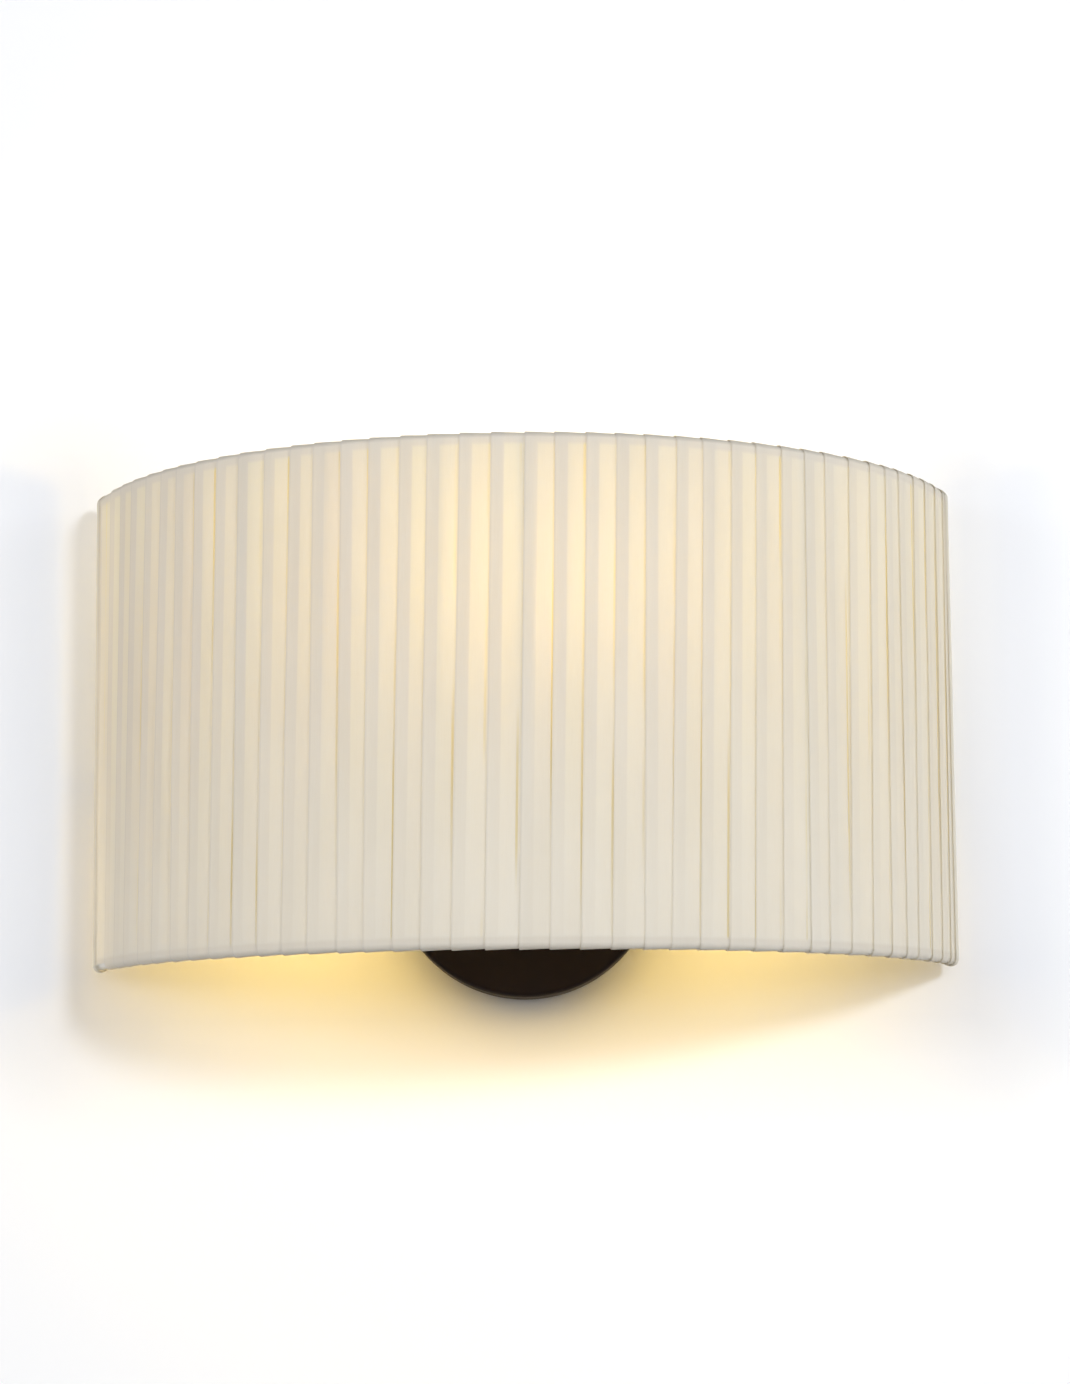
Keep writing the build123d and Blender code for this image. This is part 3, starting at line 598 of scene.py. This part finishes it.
DRESSED = {
    Finish.ENAMEL: (
        "frame_top_wire",
        "frame_bottom_wire",
        "frame_end_uprights",
        "frame_middle_uprights",
        "fitter_ring",
        "fitter_front_rod",
        "fitter_side_rods",
    ),
    Finish.CANOPY: ("canopy", "arm_tube", "arm_collar"),
    Finish.ZINC: (
        "wall_bracket",
        "canopy_screws",
        "arm_washer",
        "arm_nut",
        "holder_grub_screw",
        "terminal_screws",
        "bulb_tip",
    ),
    Finish.BRASS: ("earth_screw", "holder_screw_shell", "holder_contact", "holder_terminals"),
    Finish.BLACK_MOULDING: ("holder_cap", "holder_shell", "shade_rest_ring", "shade_clamp_ring"),
    Finish.CERAMIC: ("holder_core",),
    Finish.OPAL: ("bulb_globe",),
    Finish.WHITE_MOULDING: ("bulb_housing",),
    Finish.ROLLED_CAP: ("bulb_cap",),
    Finish.BLACK_GLASS: ("bulb_insulator",),
    Finish.BOARD: ("bulb_led_board",),
    Finish.NYLON: ("terminal_block",),
    Finish.BROWN_LEAD: ("live_lead",),
    Finish.BLUE_LEAD: ("neutral_lead",),
}


# ------------------------------------------------------------------ meshes
UV_NAME = "cloth_metres"


def grid_faces(rows: int, columns: int) -> np.ndarray:
    """Quads of a grid of points.

    Args:
        rows: Points along the first parameter.
        columns: Points along the second parameter.

    Returns:
        Point numbers of each quad, as an array of shape (quads, 4).
    """
    index = np.arange(rows * columns).reshape(rows, columns)
    corners = (index[:-1, :-1], index[1:, :-1], index[1:, 1:], index[:-1, 1:])
    return np.stack(corners, axis=-1).reshape(-1, 4)


def surface_piece(
    name: str, points: np.ndarray, uv: np.ndarray, material: bpy.types.Material
) -> bpy.types.Object:
    """Make a smooth piece from a grid of points.

    Args:
        name: Name of the piece.
        points: Array (rows, columns, 3) in millimetres.
        uv: Array (rows, columns, 2) in millimetres of cloth.
        material: Finish.

    Returns:
        The object, at the origin, with its place in its mesh.
    """
    rows, columns = points.shape[:2]
    faces = grid_faces(rows, columns)
    mesh = bpy.data.meshes.new(name)
    mesh.vertices.add(rows * columns)
    mesh.vertices.foreach_set("co", (points.reshape(-1) * MM).astype(np.float32))
    mesh.loops.add(faces.size)
    mesh.loops.foreach_set("vertex_index", faces.reshape(-1).astype(np.int32))
    mesh.polygons.add(len(faces))
    mesh.polygons.foreach_set("loop_start", np.arange(0, faces.size, 4, dtype=np.int32))
    layer = mesh.uv_layers.new(name=UV_NAME)
    laid = uv.reshape(-1, 2)[faces.reshape(-1)] * MM
    layer.data.foreach_set("uv", laid.reshape(-1).astype(np.float32))
    mesh.polygons.foreach_set("use_smooth", np.ones(len(faces), dtype=bool))
    mesh.materials.append(material)
    mesh.update(calc_edges=True)
    mesh.validate()
    piece = bpy.data.objects.new(name, mesh)
    bpy.context.scene.collection.objects.link(piece)
    return piece


# ------------------------------------------------------------------ shade
@dataclass(frozen=True)
class ShadeForm:
    """Half drum that the wire frame gives the shade."""

    axis_y: float = 54.81
    wire_arc: float = 232.05
    ring_low: float = -51.45
    ring_high: float = 191.45
    half_angle: float = 73.0

    def place(self, out: np.ndarray, degrees: np.ndarray, height: np.ndarray) -> np.ndarray:
        """Points of the room from the drum's own coordinates.

        x is the radius times the sine of the angle, y is the axis less the radius times its
        cosine, so angle 0 is the front of the shade.

        Args:
            out: Distance outside the wires' centre line.
            degrees: Angle from the front, towards +X.
            height: Height.

        Returns:
            Points, with a last axis of three.
        """
        turn = np.radians(degrees)
        radius = self.wire_arc + out
        x, y = radius * np.sin(turn), self.axis_y - radius * np.cos(turn)
        return np.stack(np.broadcast_arrays(x, y, height), axis=-1)


@dataclass
class WoundRibbon:
    """One long ribbon, wound round both ring wires in overlapping turns.

    A turn goes up the outside, over the top wire, down the inside, and under the bottom wire.
    On its way it moves one pitch to the right, a little on the outside and the rest on the
    inside, so the laps of the two passes drift against each other down the shade.
    """

    form: ShadeForm = field(default_factory=ShadeForm)
    turns: int = 39
    pitch: float = 3.655
    first_edge: float = -70.25
    tuck: float = 0.95
    lean: float = 1.01
    lap: float = 0.42
    free_edge: float = 3.6
    step: float = 0.62
    curl: float = 0.5
    curl_reach: float = 0.16
    bow: float = 0.16
    wave: float = 0.07
    half_waves: tuple[float, float, float] = (2.4, 1.2, 3.1)
    drift: tuple[tuple[float, float, float], ...] = ((0.22, 0.62, 0.9), (0.12, 1.41, 0.0))
    wander: float = 0.17
    end_clear: float = 0.9
    seed: int = 23
    up_rows: int = 44
    over_rows: int = 10
    down_rows: int = 34
    stations: tuple[float, ...] = (0, 0.05, 0.12, 0.24, 0.45, 0.75, 1.0, 1.21)
    first_slip: float = 0.2
    curl_spread: tuple[float, float] = (0.8, 2.2)
    curl_swing: float = 0.4
    stack: float = 0.02

    def _turn(self) -> dict[str, np.ndarray]:
        """Stations of one turn.

        Returns:
            By name: height of the wire line, tilt of the ribbon's face, share of the pass that
            is done (0 on a wire), and the weights of the turn's bottom, top and next bottom.
        """
        form = self.form
        rise = np.linspace(0, 1, self.up_rows, endpoint=False)
        over = np.linspace(0, 1, self.over_rows, endpoint=False)
        fall = np.linspace(0, 1, self.down_rows, endpoint=False)
        span = form.ring_high - form.ring_low
        nil = np.zeros_like(over)
        parts = {
            "height": (
                form.ring_low + span * rise,
                nil + form.ring_high,
                form.ring_high - span * fall,
                nil + form.ring_low,
            ),
            "tilt": (0 * rise, np.pi * over, 0 * fall + np.pi, np.pi * (1 + over)),
            "pass": (rise, nil, fall, nil),
            "start": (1 - rise, nil, 0 * fall, nil),
            "top": (rise, nil + 1, 1 - fall, nil),
            "next": (0 * rise, nil, fall, nil + 1),
        }
        return {name: np.concatenate(arrays) for name, arrays in parts.items()}

    def _edges(self, rng: np.random.Generator) -> tuple[np.ndarray, np.ndarray]:
        """Where each turn's left edge stands on the bottom and on the top wire.

        The angle is the first edge plus the pitch times the turn, plus a slow wave and a small
        chance error, as hands that wind a ribbon leave them.

        Args:
            rng: Source of the chance errors.

        Returns:
            Angles on the bottom wire, one more than the turns, and on the top wire.
        """
        count = np.arange(self.turns + 1)
        drift = sum(size * np.sin(count * pace + start) for size, pace, start in self.drift)
        low = self.first_edge + self.pitch * count + drift
        low += self.wander * rng.standard_normal(self.turns + 1)
        high = self.first_edge + self.pitch * count + self.lean + drift
        high += self.wander * rng.standard_normal(self.turns + 1)
        low[0] = self.first_edge - self.tuck
        high[0] = low[0] + self.first_slip
        return low, high

    def surface(self) -> tuple[np.ndarray, np.ndarray]:
        """The ribbon as a grid, rows along it and columns across.

        A point lies off the wires' centre line by the free edge's height less the lap step
        times its share of the pitch, in the direction in which the station's face tilts. Slack
        between the wires adds a curl at the free edge, a bow across, and a slow wave along.

        Returns:
            Points and cloth coordinates, in millimetres.
        """
        rng = np.random.default_rng(self.seed)
        turn = self._turn()
        low, high = self._edges(rng)
        size = len(turn["height"])
        number = np.repeat(np.arange(self.turns), size)
        station = {name: np.tile(array, self.turns) for name, array in turn.items()}
        angle = (
            station["start"] * low[number]
            + station["top"] * high[number]
            + station["next"] * low[number + 1]
        )
        share = np.array([*self.stations, 1 + self.lap])
        width = np.radians(self.pitch) * (self.form.wire_arc + self.free_edge)
        slack = np.sin(np.pi * station["pass"]) ** 2
        phase = rng.uniform(0, 2 * np.pi, (3, self.turns))
        curl = self.curl * rng.beta(*self.curl_spread, self.turns)[number]
        curled, bowed, waved = (
            np.sin(count * np.pi * station["pass"] + start[number])
            for count, start in zip(self.half_waves, phase)
        )
        curl *= 1 - self.curl_swing + self.curl_swing * curled
        bow, wave = self.bow * bowed, self.wave * waved
        across = share[None, :]
        out = self.free_edge - self.step * across
        out = out + (slack * curl)[:, None] * np.exp(-across / self.curl_reach)
        out = out + (slack * bow)[:, None] * np.sin(np.pi * across / (1 + self.lap))
        out = out + (slack * wave)[:, None]
        tilt = station["tilt"][:, None]
        radial = out * np.cos(tilt)
        height = station["height"][:, None] + out * np.sin(tilt)
        reach = width * across / (self.form.wire_arc + radial)
        limit = self.form.half_angle - self.end_clear
        degrees = angle[:, None] + np.degrees(reach)
        degrees = np.minimum(degrees, limit + self.stack * across)
        points = self.form.place(radial, degrees, height)
        run = np.linalg.norm(np.diff(points[:, len(share) // 2], axis=0), axis=1)
        along = np.concatenate([[0.0], np.cumsum(run)])
        uv = np.stack(np.broadcast_arrays(width * across, along[:, None]), axis=-1)
        return points, uv

    def build(self, cloth: bpy.types.Material) -> bpy.types.Object:
        """Make the ribbon in its cloth finish.

        Args:
            cloth: Its finish.

        Returns:
            The piece, which stands for the CAD cover.
        """
        points, uv = self.surface()
        piece = surface_piece("wound_ribbon", points, uv, cloth)
        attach(piece, "shade")
        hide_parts("shade_ribbon")
        return piece


class Side(Enum):
    """The two ends of the shade."""

    LEFT = -1
    RIGHT = 1


@dataclass
class EndStrip:
    """Plain strip folded round an end upright, over the first or the last turn."""

    side: Side
    form: ShadeForm = field(default_factory=ShadeForm)
    face_width: float = 10.0
    out: float = 3.85
    pass_rows: int = 60
    round_rows: int = 9
    face_columns: int = 7
    round_columns: int = 13
    ripple: float = 0.06
    ripple_length: float = 21.0
    ripple_start: float = 6.0
    closed_share: float = 0.02
    seed: int = 5

    def surface(self) -> tuple[np.ndarray, np.ndarray]:
        """The strip as a grid, rows up it and columns round the end.

        Across, it runs along the outer face, through half a circle round the end upright, and
        back along the inner face. Towards the wires the half circle's radius falls as the
        cosine of the tilt while the height rises as its sine, which closes the ends.

        Returns:
            Points and cloth coordinates, in millimetres.
        """
        form = self.form
        tilt = np.linspace(0, np.pi / 2, self.round_rows)
        body = np.linspace(form.ring_low, form.ring_high, self.pass_rows)
        height = np.concatenate(
            [
                form.ring_low - self.out * np.sin(tilt[:0:-1]),
                body,
                form.ring_high + self.out * np.sin(tilt[1:]),
            ]
        )
        shrink = np.concatenate([np.cos(tilt[:0:-1]), np.ones_like(body), np.cos(tilt[1:])])
        radius = self.out * np.maximum(shrink, self.closed_share)
        edge = form.half_angle - np.degrees(self.face_width / (form.wire_arc + self.out))
        centre = form.half_angle - np.degrees(self.out / form.wire_arc)
        face = np.linspace(0, 1, self.face_columns)
        fold = np.linspace(0, np.pi, self.round_columns)[1:-1]
        degrees = np.concatenate(
            [
                edge + (centre - edge) * face,
                np.zeros_like(fold) + centre,
                edge + (centre - edge) * face[::-1],
            ]
        )
        swing = np.concatenate([0 * face, fold, 0 * face + np.pi])
        rng = np.random.default_rng(self.seed + self.side.value)
        start = rng.uniform(0, self.ripple_start)
        ripple = self.ripple * np.sin(height / self.ripple_length + start)
        radial = (radius + ripple)[:, None] * np.cos(swing)
        extra = np.degrees(radius[:, None] * np.sin(swing) / form.wire_arc)
        angle = self.side.value * (degrees + extra)
        points = form.place(radial, angle, height[:, None])
        if self.side is Side.LEFT:
            points = points[:, ::-1]
        run = np.linalg.norm(np.diff(points[self.pass_rows // 2], axis=0), axis=1)
        across = np.concatenate([[0.0], np.cumsum(run)])
        climb = np.concatenate([[0.0], np.cumsum(np.hypot(np.diff(height), np.diff(radius)))])
        uv = np.stack(np.broadcast_arrays(across[None, :], climb[:, None]), axis=-1)
        return points, uv

    def build(self, cloth: bpy.types.Material) -> bpy.types.Object:
        """Make the strip in its cloth finish.

        Args:
            cloth: Its finish.

        Returns:
            The piece, which stands for the CAD strips.
        """
        points, uv = self.surface()
        piece = surface_piece(f"end_strip_{self.side.name.lower()}", points, uv, cloth)
        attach(piece, "shade")
        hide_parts("shade_end_strips")
        return piece


# ------------------------------------------------------------------ fixture
@dataclass
class Hardware:
    """The nodes that keep their CAD shape, and their finishes."""

    nodes: dict[str, bpy.types.Object]

    def dress(self, effects: SharedEffects) -> None:
        """Give every shown node its finish.

        Args:
            effects: Shared node groups.
        """
        for finish, names in DRESSED.items():
            material = finish.value.make(effects)
            for name in names:
                for place in self.nodes[name].material_slots:
                    place.material = material
            LOG.info("%s on %s", finish.value.name, ", ".join(names))

    def let_globe_shine(self) -> None:
        """Let the lamp inside the opal globe throw its light through it."""
        for name in ("bulb_globe", "bulb_led_board"):
            self.nodes[name].visible_shadow = False


# ------------------------------------------------------------------ studio
@dataclass(frozen=True)
class WarmSpot:
    """One way in which warm light leaves the shade and reaches the wall."""

    name: str
    power: float
    radius: float
    cone: float
    place: Place
    target: Place

    def make(self) -> bpy.types.Light:
        """Make a spot that fades softly to the edge of its cone.

        Returns:
            The lamp's data.
        """
        data = bpy.data.lights.new(self.name, "SPOT")
        data.energy = self.power
        data.shadow_soft_size = self.radius * MM
        data.spot_size = math.radians(self.cone)
        data.spot_blend = 1.0
        return data


@dataclass
class Studio:
    """Wall, floor, lamps and camera round the light."""

    wall_half: float = 2600.0
    # painted shade: to the camera the wall is darker and bluish close round the shade
    painted_wall_shade: Colour = (0.82, 0.85, 0.925)
    wall_far: Colour = (1.05, 1.07, 1.12)
    wall_bounce: Colour = (0.94, 0.94, 0.94)
    # outline round which the wall's painted shade lies, and how far it reaches
    painted_shade_half_width: float = 235.0
    painted_shade_middle: float = 60.0
    painted_shade_half_height: float = 140.0
    painted_shade_reach: float = 62.0
    wall_back: float = 0.4
    floor_half: float = 10400.0
    floor_depth: float = 1500.0
    floor_bounce: Colour = (0.25, 0.25, 0.25)
    floor_seen: Colour = (0.95, 0.95, 0.95)
    key_from_right: float = 27.0
    key_from_above: float = 14.5
    key_distance: float = 3000.0
    key_size: float = 420.0
    key_power: float = 28.0
    key_colour: Colour = (0.96, 0.98, 1.0)
    middle: Place = (0.0, -95.0, 70.0)
    fill_place: Place = (-1500.0, -1500.0, 200.0)
    fill_size: float = 1400.0
    fill_power: float = 4.4
    fill_colour: Colour = (1.0, 0.93, 0.86)
    room_colour: Colour = (1.0, 0.988, 0.965)
    level_from: tuple[float, float] = (-0.03, 0.10)
    high_from: tuple[float, float] = (0.25, 0.38)
    facing: float = 2.6
    overhead: float = 0.42
    underneath: float = 0.16
    globe: Place = (0.0, -95.0, 112.0)
    lamp_power: float = 0.57
    lamp_colour: Colour = (1.0, 0.77, 0.28)
    lamp_radius: float = 27.0
    glow_colour: Colour = (1.0, 0.63, 0.09)
    spots: tuple[WarmSpot, ...] = (
        WarmSpot("glow_from_globe", 0.3, 27.0, 150.0, (0.0, -95.0, 112.0), (0.0, 0.0, -75.0)),
        WarmSpot("glow_through_gap", 3.8, 40.0, 70.0, (60.0, -150.0, 70.0), (-237.0, 0.0, 70.0)),
    )
    open_spot: WarmSpot = WarmSpot(
        "glow_from_rim", 0.09, 40.0, 140.0, (0.0, -130.0, -38.0), (0.0, 0.0, -75.0)
    )
    cover_power: float = 0.17
    cover_size: tuple[float, float] = (370.0, 70.0)
    cover_place: Place = (-15.0, -70.0, -25.0)
    cover_target: Place = (-15.0, 0.0, -75.0)
    back_place: Place = (500.0, 2000.0, 800.0)
    back_size: float = 1600.0
    back_power: float = 26.0
    back_colour: Colour = (1.0, 1.0, 1.0)
    sensor: float = 36.0
    focal_pixels: float = 3506.0
    frame_pixels: float = 1384.0
    camera_place: Place = (5.9, -1837.2, -158.5)
    camera_rise: float = 7.772
    camera_roll: float = -0.441
    camera_sees: tuple[float, float] = (50.0, 60000.0)

    @staticmethod
    def _plane(name: str, corners: list[Place]) -> bpy.types.Object:
        """Make a flat four-cornered piece of the stage.

        Args:
            name: Name.
            corners: Corners in millimetres, anticlockwise from its front.

        Returns:
            The object.
        """
        mesh = bpy.data.meshes.new(name)
        mesh.from_pydata([Vector(c) * MM for c in corners], [], [(0, 1, 2, 3)])
        piece = bpy.data.objects.new(name, mesh)
        bpy.context.scene.collection.objects.link(piece)
        return piece

    def wall(self) -> bpy.types.Object:
        """Hang a pale wall behind the light, clear from behind, with painted shade round the
        shade.

        Returns:
            The wall.
        """
        half, back = self.wall_half, self.wall_back
        wall = self._plane(
            "wall",
            [(-half, back, -half), (half, back, -half), (half, back, half), (-half, back, half)],
        )
        material, board = new_material("pale_wall")
        path = board.add("ShaderNodeLightPath")
        side = board.add("ShaderNodeNewGeometry")
        paint = board.add("ShaderNodeBsdfDiffuse")
        # painted shade: the camera's wall colour darkens towards the shade's outline
        sideways, _, height = board.axes(board.add("ShaderNodeTexCoord").outputs["Object"])
        off_side = board.maths("ABSOLUTE", sideways)
        off_level = board.maths("SUBTRACT", height, self.painted_shade_middle * MM)
        beside = board.maths("SUBTRACT", off_side, self.painted_shade_half_width * MM)
        beyond = board.maths(
            "SUBTRACT", board.maths("ABSOLUTE", off_level), self.painted_shade_half_height * MM
        )
        squares = [
            board.maths("POWER", board.maths("MAXIMUM", part, 0.0), 2.0)
            for part in (beside, beyond)
        ]
        past_painted_shade = board.maths("SQRT", board.maths("ADD", *squares))
        share = board.span(past_painted_shade, (0.0, self.painted_shade_reach * MM), (0.0, 1.0))
        seen = board.blend(share, self.painted_wall_shade, self.wall_far)
        tone = board.blend(path.outputs["Is Camera Ray"], self.wall_bounce, seen)
        board.feed(paint.inputs["Color"], tone)
        clear = board.add("ShaderNodeBsdfTransparent")
        board.end(board.mixed(side.outputs["Backfacing"], paint, clear))
        wall.data.materials.append(material)
        return wall

    def floor(self) -> None:
        """Lay a plain pale floor far below."""
        half, low = self.floor_half, -self.floor_depth
        floor = self._plane(
            "floor",
            [(-half, -half, low), (half, -half, low), (half, half, low), (-half, half, low)],
        )
        material, board = new_material("pale_floor")
        path = board.add("ShaderNodeLightPath")
        paint = board.add("ShaderNodeBsdfDiffuse")
        tone = board.blend(path.outputs["Is Camera Ray"], self.floor_bounce, self.floor_seen)
        board.feed(paint.inputs["Color"], tone)
        board.end(paint)
        floor.data.materials.append(material)

    def air(self) -> None:
        """Soft light from all round, most of it level, and white to the camera.

        The strength follows the sine of the elevation, which is the incoming ray's z turned
        round: low under the horizon, high in a band above it, and lower again overhead.
        """
        world = bpy.data.worlds.new("soft_room")
        bpy.context.scene.world = world
        world.use_nodes = True
        world.node_tree.nodes.clear()
        board = NodeBoard(world.node_tree)
        path = board.add("ShaderNodeLightPath")
        incoming = board.add("ShaderNodeNewGeometry").outputs["Incoming"]
        _, _, incoming_height = board.axes(incoming)
        light = board.add("ShaderNodeBackground")
        board.feed(light.inputs["Color"], (*self.room_colour, 1.0))
        rise = board.maths("MULTIPLY", incoming_height, -1.0)
        level = board.span(rise, self.level_from, (self.underneath, self.facing))
        high = board.span(rise, self.high_from, (0.0, self.facing - self.overhead))
        room = board.maths("SUBTRACT", level, high)
        seen = path.outputs["Is Camera Ray"]
        unseen = board.maths("SUBTRACT", 1.0, seen)
        strength = board.maths("MULTIPLY_ADD", room, unseen, seen)
        board.feed(light.inputs["Strength"], strength)
        board.end(light, "ShaderNodeOutputWorld")

    @staticmethod
    def _hang(
        data: bpy.types.Light,
        colour: Colour,
        place: Place,
        target: Place,
        lit: list[bpy.types.Object] | None = None,
        stops: list[bpy.types.Object] | None = None,
    ) -> None:
        """Hang a lamp that the camera doesn't see.

        Args:
            data: The lamp, with its kind, size and power.
            colour: Colour of its light.
            place: Where it hangs, in millimetres.
            target: What it aims at, in millimetres.
            lit: The objects it lights, or None for all.
            stops: The objects that throw shadows in its light, or None for all.
        """
        data.color = colour
        lamp = bpy.data.objects.new(data.name, data)
        lamp.location = Vector(place) * MM
        lamp.rotation_euler = (Vector(place) - Vector(target)).to_track_quat("Z", "Y").to_euler()
        lamp.visible_camera = False
        bpy.context.scene.collection.objects.link(lamp)
        for kind, chosen in (("receiver_collection", lit), ("blocker_collection", stops)):
            if chosen is not None:
                group = bpy.data.collections.new(f"{data.name}_{kind}")
                for piece in chosen:
                    group.objects.link(piece)
                setattr(lamp.light_linking, kind, group)

    @staticmethod
    def _panel(name: str, power: float, size: tuple[float, float]) -> bpy.types.Light:
        """Make a panel lamp.

        Args:
            name: Name.
            power: Watts.
            size: Its two sides in millimetres.

        Returns:
            The lamp's data.
        """
        data = bpy.data.lights.new(name, "AREA")
        data.energy = power
        data.shape = "RECTANGLE"
        data.size, data.size_y = size[0] * MM, size[1] * MM
        return data

    def room_lamps(self, cloth: list[bpy.types.Object]) -> None:
        """Soft key light from the right and above, and a weak fill from the left on the cloth.

        Args:
            cloth: The shade's cloth pieces.
        """
        right, above = math.radians(self.key_from_right), math.radians(self.key_from_above)
        level = math.cos(above)
        towards = Vector((math.sin(right) * level, -math.cos(right) * level, math.sin(above)))
        key = bpy.data.lights.new("studio_key", "AREA")
        key.shape = "DISK"
        key.size = self.key_size * MM
        key.energy = self.key_power
        place = tuple(Vector(self.middle) + towards * self.key_distance)
        self._hang(key, self.key_colour, place, self.middle)
        fill = self._panel("left_fill", self.fill_power, (self.fill_size, self.fill_size))
        self._hang(fill, self.fill_colour, self.fill_place, self.middle, lit=cloth)

    def glowing_lamp(self, wall: bpy.types.Object, cloth: list[bpy.types.Object]) -> None:
        """Warm light from inside the globe, and the deeper glow that the shade lets past.

        The glow falls on the wall alone: under the shade it comes from the globe and from the
        lit cover, and beside the shade it comes through the gap at the left end.

        Args:
            wall: The wall.
            cloth: The shade's cloth pieces.
        """
        bulb = bpy.data.lights.new("globe_light", "POINT")
        bulb.energy = self.lamp_power
        bulb.shadow_soft_size = self.lamp_radius * MM
        self._hang(bulb, self.lamp_colour, self.globe, (0.0, 0.0, self.globe[2]))
        for spot in self.spots:
            self._hang(spot.make(), self.glow_colour, spot.place, spot.target, lit=[wall])
        rim = self.open_spot
        self._hang(rim.make(), self.glow_colour, rim.place, rim.target, lit=[wall], stops=cloth)
        cover = self._panel("glow_from_cover", self.cover_power, self.cover_size)
        self._hang(cover, self.glow_colour, self.cover_place, self.cover_target, lit=[wall])

    def back_light(self, nodes: dict[str, bpy.types.Object]) -> None:
        """Light what faces the wall, past the wall, and nothing else.

        Args:
            nodes: CAD nodes by name.
        """
        names = ("wall_bracket", "canopy", "canopy_screws", "terminal_block", "arm_nut")
        lit, stops = [nodes[name] for name in names], [nodes["wall_bracket"]]
        lamp = self._panel("back_light", self.back_power, (self.back_size, self.back_size))
        origin = (0.0, 0.0, 0.0)
        self._hang(lamp, self.back_colour, self.back_place, origin, lit=lit, stops=stops)

    def camera(self) -> None:
        """Stand the camera where the photograph was taken from."""
        data = bpy.data.cameras.new("camera")
        data.sensor_width = self.sensor
        data.lens = self.sensor * self.focal_pixels / self.frame_pixels
        data.clip_start, data.clip_end = metres(*self.camera_sees)
        camera = bpy.data.objects.new("camera", data)
        camera.location = Vector(self.camera_place) * MM
        pitch = Euler((math.radians(90 + self.camera_rise), 0, 0)).to_quaternion()
        roll = Euler((0, 0, math.radians(self.camera_roll))).to_quaternion()
        camera.rotation_mode = "QUATERNION"
        camera.rotation_quaternion = pitch @ roll
        bpy.context.scene.collection.objects.link(camera)
        bpy.context.scene.camera = camera

    def build(
        self, nodes: dict[str, bpy.types.Object], cloth: list[bpy.types.Object]
    ) -> None:
        """Set the whole studio.

        Args:
            nodes: CAD nodes by name.
            cloth: The shade's cloth pieces.
        """
        bpy.context.scene.view_settings.view_transform = "Standard"
        self.camera()
        wall = self.wall()
        self.floor()
        self.air()
        self.room_lamps(cloth)
        self.glowing_lamp(wall, cloth)
        self.back_light(nodes)


def main() -> None:
    """Build the studio, the shade's cloth and the finishes."""
    logging.basicConfig(level=logging.INFO, format="%(message)s")
    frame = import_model()
    nodes = frame["nodes"]
    effects = SharedEffects()
    cloth = [WoundRibbon().build(RibbonCloth("wound_cloth").make(effects))]
    # the strip is double all across, so the painted lap shade spans its width
    plain = RibbonCloth(
        "strip_cloth", width=24.4, pitch=60.0, lapped=60.0, doubled=(0.88, 0.84, 0.72)
    )
    strip_cloth = plain.make(effects)
    cloth += [EndStrip(side).build(strip_cloth) for side in Side]
    Studio().build(nodes, cloth)
    hardware = Hardware(nodes)
    hardware.dress(effects)
    hardware.let_globe_shine()


if __name__ == "__main__":
    main()
